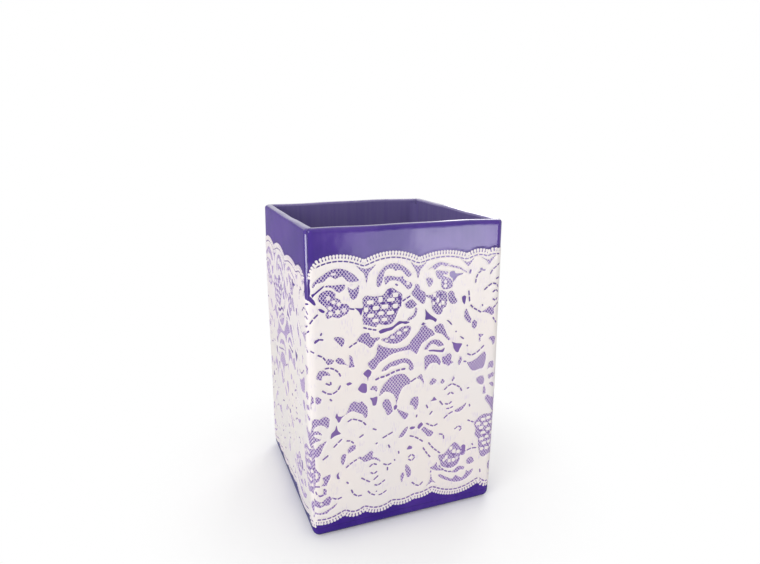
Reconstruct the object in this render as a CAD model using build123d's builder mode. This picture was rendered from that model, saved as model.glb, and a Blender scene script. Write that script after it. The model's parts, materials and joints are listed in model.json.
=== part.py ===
from build123d import *
import os
from math import cos, radians, sin

# Square utensil crock, slab built in stoneware, with a band of lace relief wound round its walls.
# The origin is the middle of the underside, +Z is up and the front wall faces -Y.

# Crock body
crock_width = 120.0
crock_height = 186.0
wall_thickness = 5.5
base_thickness = 6.5
corner_radius = 4.5
foot_radius = 4.0
rim_outer_radius = 2.0
rim_inner_radius = 1.5

# Coils of clay pressed into the inside joints
coil_leg = 5.0
coil_hollow_share = 0.36
coil_top_drop = 1.5

# Lace band: a thin net ground, and the closer cloth work standing out from it
lace_ground_thickness = 0.4
lace_cloth_thickness = 0.8
lace_above_foot = 2.0
bare_band_height = 13.0
lace_drop = 5.5
fringe_width = 3.0
slit_width = 0.7
seam_width = 0.5

# One overrun serves every cut
overrun = 2.0

half_width = crock_width / 2
inner_width = crock_width - 2 * wall_thickness
half_inner = inner_width / 2
lace_foot = foot_radius + lace_above_foot
lace_top = crock_height - bare_band_height
lace_height = lace_top - lace_foot
side_turns = (0, 90, 180, 270)
first_side = 0
last_side = 3

# The lace is drafted on squared paper. One square is a share of one wall's width, or of the
# lace's height, and rows are counted from the ground line of the draft.
squares_across_share = 120
squares_up_share = 167
first_row_share = 6
column = crock_width / squares_across_share

# The strip hangs lower as it goes round: its drop at the four corners and back at the seam.
# It drops least at its lower edge, which never comes down on the rounded foot.
drop_shares = (0.0, 0.0, 0.5, 1.0, 1.0)
level_end_share = 0.07
lower_drop_share = 0.95

# Scallops of the edges: valley, crown and next valley, in squares
top_scallop_shares = (
    (4, 170, 17, 173, 32, 169),
    (32, 169, 48, 173, 65, 168),
    (65, 168, 80, 171, 96, 168),
    (96, 168, 103, 170.5, 110, 169),
    (110, 169, 113, 170.5, 116, 170),
)
bottom_scallop_shares = (
    (4, 6.5, 11, 6.5, 19, 10),
    (19, 10, 25, 7, 32, 9.5),
    (32, 9.5, 41, 6, 50, 9),
    (50, 9, 57, 7.5, 64, 9.5),
    (64, 9.5, 71, 9.5, 77, 12),
    (77, 12, 95, 6, 111, 11.5),
    (111, 11.5, 113, 8, 116, 6.5),
)

# Nets of the scrolls: start, outer middle, end and inner middle of two arcs
net_shares = (
    (7, 157, 15, 165.5, 29, 155, 17, 160.5),
    (40, 152, 48, 165.5, 59, 156, 49, 158.5),
    (71, 160, 81, 164.5, 95, 156.5, 83, 158.5),
    (42, 121, 55, 117, 61, 128, 51, 123),
    (42, 98, 50, 106, 63, 102, 52, 102.5),
    (82, 22, 95, 15.5, 106, 24, 94, 21),
)

# Plainer patches of net between the scrolls and leaves: their corners
patch_shares = (
    (7, 152, 14, 156, 21, 152, 19, 144, 12, 140),
    (22.5, 153, 28.5, 153, 28, 148, 25, 146),
    (31, 147, 43, 150, 54, 145, 49, 132, 38, 130),
    (56, 135, 60, 140, 63, 136, 60, 132),
    (72, 143, 78, 147, 83, 140, 79, 132, 74, 134),
    (60, 111, 66, 119, 75, 121, 68, 127, 63, 120),
    (34, 107, 42, 116.5, 59, 115, 47, 111),
    (41, 87, 43, 94.5, 49, 99, 56, 97.5, 61, 91, 52, 86),
    (20, 77, 24, 83, 31, 84, 34, 75, 27, 80),
    (70, 110, 74, 115.5, 81, 113.5, 79, 110),
    (70, 100, 75, 106.5, 88, 101, 80, 99),
    (98, 99, 108, 104, 110, 94, 103, 92.5),
    (43, 82, 48, 83.5, 50, 74, 46, 73),
    (60, 80, 65, 81, 66, 73, 61, 73.5),
    (20, 46, 21, 53, 26, 56, 25, 50),
    (28, 44, 33, 50, 38, 48, 34, 43.5),
    (103, 57, 109, 61, 112.5, 50, 107, 47),
    (82, 31, 90, 44, 100, 36, 91, 28.5),
)

# Buds left standing in the nets of the scrolls: their corners
bud_shares = (
    (14, 161.5, 15.5, 163.4, 18.5, 163.4, 20, 161.5, 18.5, 159.8, 15.5, 159.8),
    (47, 161, 48.5, 163, 51.5, 163, 53, 161, 51.5, 159.4, 48.5, 159.4),
    (79, 160.8, 80.5, 162.2, 83.5, 162.2, 85, 160.8, 83.5, 159.6, 80.5, 159.6),
)

# Gaps right through the lace between its scrolls, leaves and flowers: their corners
gap_shares = (
    (6, 144.5, 9, 145.5, 11, 142, 7.5, 142),
    (27, 143, 32, 143, 30, 136),
    (30, 165, 33, 164, 36, 165, 33, 158),
    (62, 164.5, 65, 163.5, 68, 164.5, 65, 157),
    (69, 136, 78, 130, 75, 128, 70, 130),
    (87.5, 113.5, 94, 111.5, 92, 107, 88.5, 109),
    (28, 95, 34, 96, 33, 89.5, 29, 91),
    (36, 85, 40, 85.5, 39.5, 81, 37, 81),
    (11, 64, 14.5, 71, 17.5, 65.5),
    (48.5, 77, 51, 79.5, 53, 77, 51, 74.5),
    (60, 60, 62, 61.5, 65, 60, 62, 59),
    (58, 31, 60, 35.5, 62.5, 31, 60, 26),
)

# Veins of leaves and edges of petals: start, middle and end of a slit
slit_shares = (
    (8, 124, 13, 120, 17, 113),
    (83, 62, 92, 67, 100, 70),
    (60, 56, 66, 53.5, 70, 49),
    (74, 47, 78.5, 43, 82, 38),
    (99, 136, 102, 133.5, 107, 131),
    (84, 125, 88, 120, 93, 118),
)

# Open roses: middle, radius of the ring of slits, and angle of the first slit
rose_shares = (
    (15, 99, 5.5, 20),
    (88, 78, 6.5, 50),
    (37.5, 36, 7.0, 0),
)
rose_slit_count = 3
rose_slit_angle = 60

# Seam at the front left corner: the strip's end is cut back above a leaf whose tip lies on the
# front wall, and its start is cut on the round
end_cut_shares = (108, 149)
start_cut_shares = (-3, 158, 3, 167.5, 14, 177)
seam_shares = (-3, 150, 8, 141.5, 1.5, 131)


def mitre_wedge(turn):
    """Quarter of the plan that belongs to one wall, between its two mitres."""
    reach = crock_width
    with BuildSketch(Plane.XY.rotated((0, 0, turn)).offset(-overrun)) as wedge:
        with BuildLine():
            Polyline((0, 0), (-reach, -reach), (reach, -reach), close=True)
        make_face()
    return wedge.sketch


def lace_plane(turn):
    """Drafting plane of a wall: X to the right, Y up, out of the wall from its left foot corner."""
    along = Vector(cos(radians(turn)), sin(radians(turn)), 0)
    outward = Vector(sin(radians(turn)), -cos(radians(turn)), 0)
    return Plane(origin=outward * half_width - along * half_width, x_dir=along, z_dir=outward)


def draft(side, across, up):
    """Point of the draft in real size on one wall, with the drop of the strip at that place."""
    share = across / squares_across_share
    run = min(max((share - level_end_share) / (1 - 2 * level_end_share), 0), 1)
    drop = drop_shares[side] + (drop_shares[side + 1] - drop_shares[side]) * run
    high = (up - first_row_share) / squares_up_share
    full_drop = lace_above_foot * lower_drop_share * (1 - high) + lace_drop * high
    return (across * column, lace_foot + high * lace_height - drop * full_drop)


def pairs(shares):
    """Row of a table as its separate places, across and up."""
    return list(zip(shares[0::2], shares[1::2]))


def two_arcs(side, shares):
    """Face between two arcs that share their ends, such as the crescent of a scroll."""
    start, outer, end, inner = (draft(side, *place) for place in pairs(shares))
    with BuildLine(Plane.XY) as outline:
        arc = ThreePointArc(start, outer, end)
        ThreePointArc(arc @ 1, inner, arc @ 0)
    make_face(outline.edges())


def slit(side, shares):
    """Thin kite along a bent line, as wide in its middle as a slit."""
    start, middle, end = (Vector(*draft(side, *place)) for place in pairs(shares))
    across = (end - start).rotate(Axis.Z, 90).normalized() * (slit_width / 2)
    with BuildLine(Plane.XY) as outline:
        Polyline(start, middle + across, end, middle - across, close=True)
    make_face(outline.edges())


def rose(side, shares):
    """Ring of slits that sets the heart of a rose apart from its petals."""
    across, up, radius, first = shares
    for index in range(rose_slit_count):
        middle = first + index * 360 / rose_slit_count
        angles = (middle - rose_slit_angle / 2, middle, middle + rose_slit_angle / 2)
        points = [(across + radius * cos(radians(a)), up + radius * sin(radians(a))) for a in angles]
        slit(side, points[0] + points[1] + points[2])


def beyond_edge(side, scallops, inset, upwards):
    """Everything beyond a scalloped edge of the strip, drawn in by an inset."""
    away = 1 if upwards else -1
    inset_drop = Vector(0, -away * inset)
    far = lace_top + 2 * overrun if upwards else -overrun
    places = [[Vector(*draft(side, *place)) + inset_drop for place in pairs(row)] for row in scallops]
    first = places[0][0]
    last = places[-1][2]
    left = -overrun
    right = crock_width + overrun
    with BuildLine(Plane.XY) as outline:
        Polyline((right, last.Y), (right, far), (left, far), (left, first.Y), first)
        here = first
        for valley, crown, next_valley in places:
            here = ThreePointArc(here, crown, next_valley) @ 1
        Line(here, (right, last.Y))
    make_face(outline.edges())


def edges_beyond(side, inset):
    """Cut-away above the top scallops and below the bottom scallops."""
    beyond_edge(side, top_scallop_shares, inset, True)
    beyond_edge(side, bottom_scallop_shares, inset, False)


def corners(side, shares, mode=Mode.ADD):
    """Face with straight sides between its corners."""
    with BuildLine(Plane.XY) as outline:
        Polyline(*[draft(side, *place) for place in pairs(shares)], close=True)
    make_face(outline.edges(), mode=mode)


def end_cut(side):
    """Cut-back end of the strip, above the leaf that goes round the corner."""
    left, low = draft(side, *end_cut_shares)
    right = crock_width + overrun
    high = lace_top + overrun
    with BuildLine(Plane.XY) as outline:
        Polyline((left, low), (right, low), (right, high), (left, high), close=True)
    make_face(outline.edges())


def start_cut(side):
    """Start of the strip, cut on the round, and the seam down the corner beside its end."""
    start, middle, end = (draft(side, *place) for place in pairs(start_cut_shares))
    with BuildLine(Plane.XY) as outline:
        arc = ThreePointArc(start, middle, end)
        Polyline(arc @ 1, (start[0], end[1]), arc @ 0)
    make_face(outline.edges())
    seam = [Vector(*draft(side, *place)) for place in pairs(seam_shares)]
    seam.append(Vector(seam[-1].X, 0))
    far_side = [place + Vector(seam_width, seam_width) for place in reversed(seam)]
    with BuildLine(Plane.XY) as outline:
        Polyline(*seam, *far_side, close=True)
    make_face(outline.edges())


def ring(inner_gap, outer_gap):
    """Even layer round the walls between two distances from their faces."""
    outer_width = crock_width + 2 * outer_gap
    inner_side = crock_width + 2 * inner_gap
    with BuildSketch() as plan:
        RectangleRounded(outer_width, outer_width, corner_radius + outer_gap)
        RectangleRounded(inner_side, inner_side, corner_radius + inner_gap, mode=Mode.SUBTRACT)
    extrude(plan.sketch, amount=lace_top + overrun)


def cut_layer(inset, openings):
    """Cut one layer of the lace on every wall, each cut kept between that wall's mitres."""
    for side, turn in enumerate(side_turns):
        with BuildPart(mode=Mode.PRIVATE) as cutter:
            with BuildSketch(lace_plane(turn).offset(lace_cloth_thickness + overrun)):
                edges_beyond(side, inset)
                if side == first_side:
                    start_cut(side)
                if side == last_side:
                    end_cut(side)
                openings(side)
            extrude(amount=-(lace_cloth_thickness + overrun + corner_radius))
            extrude(mitre_wedge(turn), amount=crock_height + 2 * overrun, mode=Mode.INTERSECT)
        add(cutter.part, mode=Mode.SUBTRACT)


def ground_openings(side):
    """Gaps that go right through both layers."""
    for shares in gap_shares:
        corners(side, shares)


def cloth_openings(side):
    """Nets, gaps, slits and roses of the cloth work, round its standing buds."""
    ground_openings(side)
    for shares in patch_shares:
        corners(side, shares)
    for shares in net_shares:
        two_arcs(side, shares)
    for shares in slit_shares:
        slit(side, shares)
    for shares in rose_shares:
        rose(side, shares)
    for shares in bud_shares:
        corners(side, shares, mode=Mode.SUBTRACT)


os.makedirs("parts", exist_ok=True)

# Base slab with its rounded foot
with BuildPart() as base_slab:
    with BuildSketch():
        RectangleRounded(crock_width, crock_width, corner_radius)
    extrude(amount=base_thickness)
    fillet(base_slab.faces().sort_by(Axis.Z)[0].edges(), radius=foot_radius)
base_slab.part.label = "base_slab"
export_step(base_slab.part, "parts/base_slab.step")

# Four wall slabs standing on the base, mitred to each other at the corners
for wall_name, turn in zip(("front_wall", "right_wall", "back_wall", "left_wall"), side_turns):
    with BuildPart() as wall:
        with BuildSketch(Plane.XY.offset(base_thickness)):
            RectangleRounded(crock_width, crock_width, corner_radius)
            Rectangle(inner_width, inner_width, mode=Mode.SUBTRACT)
        extrude(amount=crock_height - base_thickness)
        fillet(wall.faces().sort_by(Axis.Z)[-1].outer_wire().edges(), radius=rim_outer_radius)
        fillet(wall.faces().sort_by(Axis.Z)[-1].inner_wires()[0].edges(), radius=rim_inner_radius)
        extrude(mitre_wedge(turn), amount=crock_height + 2 * overrun, mode=Mode.INTERSECT)
    wall.part.label = wall_name
    export_step(wall.part, f"parts/{wall_name}.step")

# Coil round the joint of the floor and the walls
with BuildPart() as base_coil:
    for turn in side_turns:
        along = Vector(cos(radians(turn)), sin(radians(turn)), 0)
        inward = Vector(-sin(radians(turn)), cos(radians(turn)), 0)
        foot = inward * -half_inner + Vector(0, 0, base_thickness)
        with BuildSketch(Plane(origin=foot, x_dir=inward, z_dir=along)):
            with BuildLine():
                hollow = coil_leg * coil_hollow_share
                Polyline((0, coil_leg), (0, 0), (coil_leg, 0))
                ThreePointArc((coil_leg, 0), (hollow, hollow), (0, coil_leg))
            make_face()
        extrude(amount=half_inner, both=True)
base_coil.part.label = "base_coil"
export_step(base_coil.part, "parts/base_coil.step")

# Coils up the four inside corners, standing on the base coil and stopping short of the rim
coil_names = (
    "corner_coil_front_left",
    "corner_coil_front_right",
    "corner_coil_back_right",
    "corner_coil_back_left",
)
for coil_name, turn in zip(coil_names, side_turns):
    with BuildPart() as corner_coil:
        with BuildSketch(Plane.XY.rotated((0, 0, turn)).offset(base_thickness)):
            with BuildLine():
                corner = -half_inner
                leg_end = corner + coil_leg
                hollow = corner + coil_leg * coil_hollow_share
                Polyline((corner, leg_end), (corner, corner), (leg_end, corner))
                ThreePointArc((leg_end, corner), (hollow, hollow), (corner, leg_end))
            make_face()
        extrude(amount=crock_height - base_thickness - rim_inner_radius - coil_top_drop)
        add(base_coil.part, mode=Mode.SUBTRACT)
    corner_coil.part.label = coil_name
    export_step(corner_coil.part, f"parts/{coil_name}.step")

# Closer cloth work of the lace, which stands out from the net ground
with BuildPart() as lace_cloth:
    ring(lace_ground_thickness, lace_cloth_thickness)
    cut_layer(fringe_width, cloth_openings)

# Lace band: the net ground with the cloth work on it, one strip wound round the four walls
with BuildPart() as lace_band:
    ring(0, lace_ground_thickness)
    cut_layer(0, ground_openings)
    add(lace_cloth.part)
lace_band.part.label = "lace_band"
export_step(lace_band.part, "parts/lace_band.step")
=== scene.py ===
import json
import math

import bpy
import numpy as np
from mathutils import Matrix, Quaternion, Vector
from mathutils.geometry import delaunay_2d_cdt
from mathutils.kdtree import KDTree

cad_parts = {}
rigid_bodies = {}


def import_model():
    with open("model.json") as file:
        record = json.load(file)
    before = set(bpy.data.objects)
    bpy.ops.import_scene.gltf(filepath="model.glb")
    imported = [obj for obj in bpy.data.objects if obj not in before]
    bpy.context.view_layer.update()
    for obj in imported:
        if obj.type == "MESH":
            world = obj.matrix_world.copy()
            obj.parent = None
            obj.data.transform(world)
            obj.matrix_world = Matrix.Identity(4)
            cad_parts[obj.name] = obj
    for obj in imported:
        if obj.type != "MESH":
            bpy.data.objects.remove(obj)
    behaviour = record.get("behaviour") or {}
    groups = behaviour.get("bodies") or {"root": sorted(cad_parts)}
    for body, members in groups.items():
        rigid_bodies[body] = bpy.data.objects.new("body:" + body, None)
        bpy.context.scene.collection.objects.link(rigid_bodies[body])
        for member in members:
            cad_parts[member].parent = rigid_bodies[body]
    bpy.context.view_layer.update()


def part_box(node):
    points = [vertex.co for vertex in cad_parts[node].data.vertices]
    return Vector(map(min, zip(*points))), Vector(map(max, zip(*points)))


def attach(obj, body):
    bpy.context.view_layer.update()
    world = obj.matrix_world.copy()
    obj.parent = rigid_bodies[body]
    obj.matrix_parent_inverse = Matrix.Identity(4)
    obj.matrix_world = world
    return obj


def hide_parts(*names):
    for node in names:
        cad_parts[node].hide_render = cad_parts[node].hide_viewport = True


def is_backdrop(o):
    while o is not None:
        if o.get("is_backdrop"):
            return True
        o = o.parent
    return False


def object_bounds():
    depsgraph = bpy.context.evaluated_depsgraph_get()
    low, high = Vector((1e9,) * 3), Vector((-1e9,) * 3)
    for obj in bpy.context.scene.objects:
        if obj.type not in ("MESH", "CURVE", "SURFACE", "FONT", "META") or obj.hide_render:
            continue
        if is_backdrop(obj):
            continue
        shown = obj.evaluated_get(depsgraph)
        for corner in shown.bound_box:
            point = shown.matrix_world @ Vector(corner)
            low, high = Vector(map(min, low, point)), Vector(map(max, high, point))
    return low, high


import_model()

# Base slab. A square of rolled stoneware clay whose foot edge is wiped round with a sponge. It is
# glazed with the rest of the crock, but its underside stays bare so that it can't stick in the kiln.
MM = 0.001
scene_objects = bpy.context.scene.collection.objects
half_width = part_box("base_slab")[1].x / MM
base_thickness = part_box("base_slab")[1].z / MM
crock_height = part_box("front_wall")[1].z / MM
wall_thickness = (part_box("front_wall")[1].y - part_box("front_wall")[0].y) / MM
inner_half = half_width - wall_thickness
side_length = 2 * half_width
round_trip = 4 * side_length
corner_radius = 4.5
foot_radius = 5.0
quarter_turn = math.pi / 2
corner_steps = 8
flat_steps = 48
foot_steps = 7
sharp_angle = math.radians(40)
belly_height = 0.5
wave_height = 0.16
settled_height = 14.0
rim_waver_height = 0.32
rim_waver_depth = 30.0


def to_side(x, y, side):
    """Plan places of the front side, turned round to another side."""
    bearing = side * quarter_turn
    return x * np.cos(bearing) - y * np.sin(bearing), x * np.sin(bearing) + y * np.cos(bearing)


def on_plan(around, proud):
    """Plan places that stand proud of the crock's rounded square, for distances along its four sides."""
    side = np.floor(around / side_length)
    along = around - side * side_length
    past_flat = np.clip((along - side_length + corner_radius) / corner_radius, 0, 1)
    before_flat = np.clip((corner_radius - along) / corner_radius, 0, 1)
    turn = (past_flat - before_flat) * quarter_turn / 2
    flat_half = half_width - corner_radius
    x = np.clip(along - half_width, -flat_half, flat_half) + (corner_radius + proud) * np.sin(turn)
    y = -flat_half - (corner_radius + proud) * np.cos(turn)
    return to_side(x, y, side)


def hand_swell(around, up):
    """How far the hand-built walls stand out of true: a slow belly and a few shallow waves."""
    share = up / crock_height
    turn = 2 * math.pi * around / round_trip
    belly = belly_height * 4 * share * (1 - share)
    waves = np.sin(3 * turn + 6 * share + 1) + 0.6 * np.sin(7 * turn - 9 * share)
    return np.clip(up / settled_height, 0, 1) * (belly + wave_height * waves)


def rim_waver(around, up):
    """How far the hand-cut rim lies above or below true."""
    turn = 2 * math.pi * around / round_trip
    near_rim = np.clip((up - crock_height + rim_waver_depth) / rim_waver_depth, 0, 1)
    waver = np.sin(2 * turn + 0.6) + 0.5 * np.sin(5 * turn + 2) + 0.3 * np.sin(11 * turn)
    return near_rim ** 2 * rim_waver_height * waver


def on_wall(around, up, proud=0.0):
    """Places on the outside of the walls, in millimetres, with the swell of the hand-built clay."""
    around, up, proud = np.broadcast_arrays(around, up, proud)
    x, y = on_plan(around, proud + hand_swell(around, up))
    return np.stack((x, y, up + rim_waver(around, up)), axis=-1)


def stations(first_side, sides):
    """Distances along the sides, closer together round the corners."""
    corner = np.linspace(0, corner_radius, corner_steps, endpoint=False)
    flat = np.linspace(corner_radius, side_length - corner_radius, flat_steps, endpoint=False)
    one_side = np.concatenate((corner, flat, side_length - corner[::-1] - corner_radius / corner_steps))
    every = [one_side + side * side_length for side in range(first_side, first_side + sides)]
    return np.concatenate(every)


def arc(centre, radius, start, end, steps):
    """Places on an arc, from one angle to another in quarter turns."""
    angles = np.linspace(start, end, steps) * quarter_turn
    return [(centre[0] + radius * math.cos(a), centre[1] + radius * math.sin(a)) for a in angles]


def grid_faces(rows, columns, round_rows, round_columns):
    """Four-sided faces over a grid of places, closed on itself where asked."""
    faces = []
    for i in range(rows if round_rows else rows - 1):
        for j in range(columns if round_columns else columns - 1):
            right = (i + 1) % rows
            above = (j + 1) % columns
            faces.append((i * columns + j, right * columns + j, right * columns + above, i * columns + above))
    return faces


def end_faces(rows, columns):
    """Faces that close the first and the last row of a grid."""
    return [list(reversed(range(columns))), [(rows - 1) * columns + j for j in range(columns)]]


def make_piece(name, places, faces, finish):
    """Mesh object from places in millimetres, at the origin of the frame."""
    mesh = bpy.data.meshes.new(name)
    mesh.from_pydata((np.asarray(places).reshape(-1, 3) * MM).tolist(), [], faces)
    mesh.update()
    mesh.materials.append(finish.material)
    mesh.shade_smooth()
    piece = bpy.data.objects.new(name, mesh)
    scene_objects.link(piece)
    return piece


def note(piece, name, values):
    """Numbers noted at the points of a piece, for its finish to read."""
    values = np.asarray(values, dtype=np.float32)
    kind, field = ("FLOAT", "value") if values.ndim == 1 else ("FLOAT_VECTOR", "vector")
    layer = piece.data.attributes.new(name, kind, "POINT")
    layer.data.foreach_set(field, values.ravel())


def add_node(tree, kind, settings, sockets):
    """Node in a tree, with its settings, and a value or another node's output for its sockets."""
    made = tree.nodes.new(kind)
    for name, value in settings.items():
        setattr(made, name, value)
    for name, value in sockets.items():
        if isinstance(value, bpy.types.NodeSocket):
            tree.links.new(value, made.inputs[name])
        else:
            made.inputs[name].default_value = value
    return made


class Wire:
    """A value on its way through a finish. Arithmetic on it adds the Math nodes."""

    def __init__(self, finish, socket):
        self.finish = finish
        self.socket = socket

    def __add__(self, other):
        return self.finish.reckon("ADD", self, other)

    def __radd__(self, other):
        return self.finish.reckon("ADD", other, self)

    def __rsub__(self, other):
        return self.finish.reckon("SUBTRACT", other, self)

    def __mul__(self, other):
        return self.finish.reckon("MULTIPLY", self, other)

    def __rmul__(self, other):
        return self.finish.reckon("MULTIPLY", other, self)


class Finish:
    """A material, and the nodes that make it."""

    def __init__(self, name):
        self.material = bpy.data.materials.new(name)
        self.material.use_nodes = True
        self.tree = self.material.node_tree
        self.shader = self.tree.nodes["Principled BSDF"]

    def join(self, value, socket):
        """Lead a wire or a plain value into a socket."""
        if isinstance(value, Wire):
            self.tree.links.new(value.socket, socket)
        else:
            socket.default_value = value

    def node(self, kind, settings, sockets, output=0):
        """Wire from one output of a new node."""
        plain = {name: value.socket if isinstance(value, Wire) else value for name, value in sockets.items()}
        return Wire(self, add_node(self.tree, kind, settings, plain).outputs[output])

    def reckon(self, operation, first, second):
        return self.node("ShaderNodeMath", {"operation": operation}, {0: first, 1: second})

    def paint(self, **sockets):
        """Wires or values for the shader's sockets, by their names in lower case."""
        for name, value in sockets.items():
            self.join(value, self.shader.inputs[name.replace("_", " ").title().replace("Ior", "IOR")])

    def mottle(self, where, scale, detail):
        """Cloudy noise of a scale over places."""
        sockets = {"Scale": scale, "Detail": detail, "Vector": where}
        return self.node("ShaderNodeTexNoise", {}, sockets, "Fac")

    def ease(self, value, low, high):
        """0 below the low value and 1 above the high one, with a soft step between them."""
        sockets = {"Value": value, "From Min": low, "From Max": high}
        return self.node("ShaderNodeMapRange", {"interpolation_type": "SMOOTHSTEP"}, sockets)

    def mix(self, share, first, second):
        return self.node("ShaderNodeMix", {"data_type": "RGBA"}, {0: share, 6: first, 7: second}, 2)

    def stretched(self, where, scale):
        return self.node("ShaderNodeMapping", {}, {"Vector": where, "Scale": scale})

    def bump(self, height, distance, strength):
        sockets = {"Height": height, "Distance": distance, "Strength": strength}
        return self.node("ShaderNodeBump", {}, sockets, "Normal")


deep_violet = (0.040, 0.010, 0.215, 1)
# Deep violet of glaze pooled above the lace, also used as painted shade: a dark reflection line along the
# lace's top edge.
pooled_and_shaded_violet = (0.014, 0.003, 0.080, 1)
mid_violet = (0.072, 0.024, 0.275, 1)
broken_glaze = (0.55, 0.48, 0.68, 1)
slip_haze = (0.50, 0.33, 0.62, 1)
# Paler violet for the inside faces: painted reflected light, with thinner glaze there.
inner_glaze_and_painted_light = (0.170, 0.140, 0.310, 1)
bare_clay = (0.52, 0.41, 0.31, 1)
dark_clay = (0.42, 0.32, 0.24, 1)


def violet_glaze():
    """Glossy violet glaze: pooled above the lace, with a painted dark reflection line along it, hazy with
    slip under it, thin where it breaks, and painted paler inside as reflected light.
    """
    glaze = Finish("violet_glaze")
    where = glaze.node("ShaderNodeTexCoord", {}, {}, "Object")
    worn, haze, pool_and_shade = (
        glaze.node("ShaderNodeAttribute", {"attribute_name": name}, {}, "Fac")
        for name in ("worn", "haze", "pool_and_shade")
    )
    clouds = glaze.mottle(where, scale=38.0, detail=3.0)
    strokes = glaze.mottle(glaze.stretched(where, (330, 330, 16)), scale=1.0, detail=4.0)
    streaky = 0.55 + 0.6 * strokes
    speckle = glaze.mottle(where, scale=900.0, detail=2.0)
    depth = glaze.ease(clouds * 0.82 + strokes * 0.18, 0.36, 0.66)
    colour = glaze.mix(depth, deep_violet, mid_violet)
    colour = glaze.mix(haze * streaky, colour, slip_haze)
    # Painted shade: a dark reflection line in the glaze just above the lace, over real pooled glaze.
    colour = glaze.mix(pool_and_shade * 0.85, colour, pooled_and_shaded_violet)
    patchy = glaze.ease(glaze.mottle(where, scale=160.0, detail=3.0), 0.32, 0.62)
    thin = worn * (0.35 + 0.65 * patchy)
    colour = glaze.mix(thin, colour, broken_glaze)
    # Painted light: the inside faces are painted paler to stand for light reflected there.
    inner_face = inner_half * MM
    plan = glaze.node("ShaderNodeVectorMath", {"operation": "ABSOLUTE"}, {0: where})
    x, y = (glaze.node("ShaderNodeSeparateXYZ", {}, {"Vector": plan}, axis) for axis in "XY")
    reach = glaze.reckon("MAXIMUM", x, y)
    inside = 1 - glaze.ease(reach, inner_face, inner_face + MM)
    colour = glaze.mix(inside * streaky, colour, inner_glaze_and_painted_light)
    height = glaze.node("ShaderNodeSeparateXYZ", {}, {"Vector": where}, "Z")
    under = 1 - glaze.ease(height, 0.0001, 0.0009)
    clay = glaze.mix(speckle, bare_clay, dark_clay)
    colour = glaze.mix(under, colour, clay)
    roughness = 0.09 + 0.06 * clouds + 0.12 * thin + 0.4 * pool_and_shade + 0.62 * under
    ripple = glaze.bump(glaze.mottle(where, scale=75.0, detail=2.0), distance=0.0006, strength=0.35)
    glaze.paint(base_color=colour, roughness=roughness, normal=ripple, ior=1.42)
    return glaze


glaze = violet_glaze()
foot = arc((-foot_radius, foot_radius), foot_radius, -1, 0, foot_steps)
slab_profile = np.array(foot + [(0, base_thickness)])
slab_stations = stations(0, 4)
slab_places = on_wall(slab_stations[:, None], slab_profile[None, :, 1], slab_profile[None, :, 0])
rings = len(slab_profile)
slab_faces = grid_faces(len(slab_stations), rings, True, False)
slab_faces.append([i * rings for i in reversed(range(len(slab_stations)))])
slab_faces.append([i * rings + rings - 1 for i in range(len(slab_stations))])
base_slab = make_piece("glazed_base_slab", slab_places, slab_faces, glaze)
base_slab.data.set_sharp_from_angle(angle=sharp_angle)
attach(base_slab, "root")
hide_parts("base_slab")


# Four wall slabs. Rolled clay cut with mitred edges and joined with slip, then smoothed over, so
# that the joints vanish under the glaze. The rims are wiped round, and the glaze breaks pale there.
wall_names = ("front_wall", "right_wall", "back_wall", "left_wall")
rim_outer_radius = 2.0
rim_inner_radius = 1.5
rim_steps = 6
height_steps = 30
lace_foot_heights = (7, 18)
lace_edge_heights = (156, 176)
worn_reach = 1.1
outer_wear = 0.12


def inside_face(around):
    """Plan places on the square inside of the walls."""
    side = np.floor(around / side_length)
    x = (around / side_length - side - 0.5) * 2 * inner_half
    return to_side(x, np.full_like(x, -inner_half), side)


def wall_places(around, depth, up):
    """Places in the thickness of a wall: depth is 0 on the outside and the wall's thickness inside."""
    outside = on_wall(around, up)
    x, y = inside_face(around)
    inside = np.stack((x, y, outside[..., 2]), axis=-1)
    share = depth[..., None] / wall_thickness
    return outside + (inside - outside) * share


outer_rim = arc((rim_outer_radius, crock_height - rim_outer_radius), rim_outer_radius, 2, 1, rim_steps)
inner_rim = arc(
    (wall_thickness - rim_inner_radius, crock_height - rim_inner_radius), rim_inner_radius, 1, 0, rim_steps
)
skin_heights = np.concatenate((
    [base_thickness],
    np.arange(*lace_foot_heights),
    np.linspace(lace_foot_heights[1], lace_edge_heights[0], height_steps, endpoint=False),
    np.arange(*lace_edge_heights),
    np.linspace(lace_edge_heights[1], crock_height - rim_outer_radius, rim_steps)[:-1],
))
inner_heights = np.linspace(crock_height - rim_inner_radius, base_thickness, height_steps)[1:]
wall_profile = np.array(
    [(0, up) for up in skin_heights] + outer_rim + inner_rim + [(wall_thickness, up) for up in inner_heights]
)
step_aside = 0.02

walls = []
for side, wall_name in enumerate(wall_names):
    wall_stations = np.append(stations(side, 1), (side + 1) * side_length)
    around, depth = np.meshgrid(wall_stations, wall_profile[:, 0], indexing="ij")
    up = np.broadcast_to(wall_profile[:, 1], around.shape)
    places = wall_places(around, depth, up)
    along = wall_places(around + step_aside, depth, up) - wall_places(around - step_aside, depth, up)
    across = np.roll(places, -1, axis=1) - np.roll(places, 1, axis=1)
    normals = np.cross(along, across)
    normals /= np.linalg.norm(normals, axis=-1, keepdims=True)
    count = len(wall_profile)
    faces = grid_faces(len(wall_stations), count, False, True)
    open_faces = len(faces)
    faces += end_faces(len(wall_stations), count)
    wall = make_piece("glazed_" + wall_name, places, faces, glaze)
    corner_normals = [tuple(normals.reshape(-1, 3)[v]) for face in faces[:open_faces] for v in face]
    corner_normals += [(0, 0, 0)] * (2 * count)
    wall.data.normals_split_custom_set(corner_normals)
    near_rim = np.clip(1 - (crock_height - up) / worn_reach, 0, 1)
    worn = near_rim * (outer_wear + (1 - outer_wear) * (depth / wall_thickness) ** 4)
    note(wall, "worn", worn.ravel())
    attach(wall, "root")
    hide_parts(wall_name)
    walls.append((wall, around, depth, up))


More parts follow.
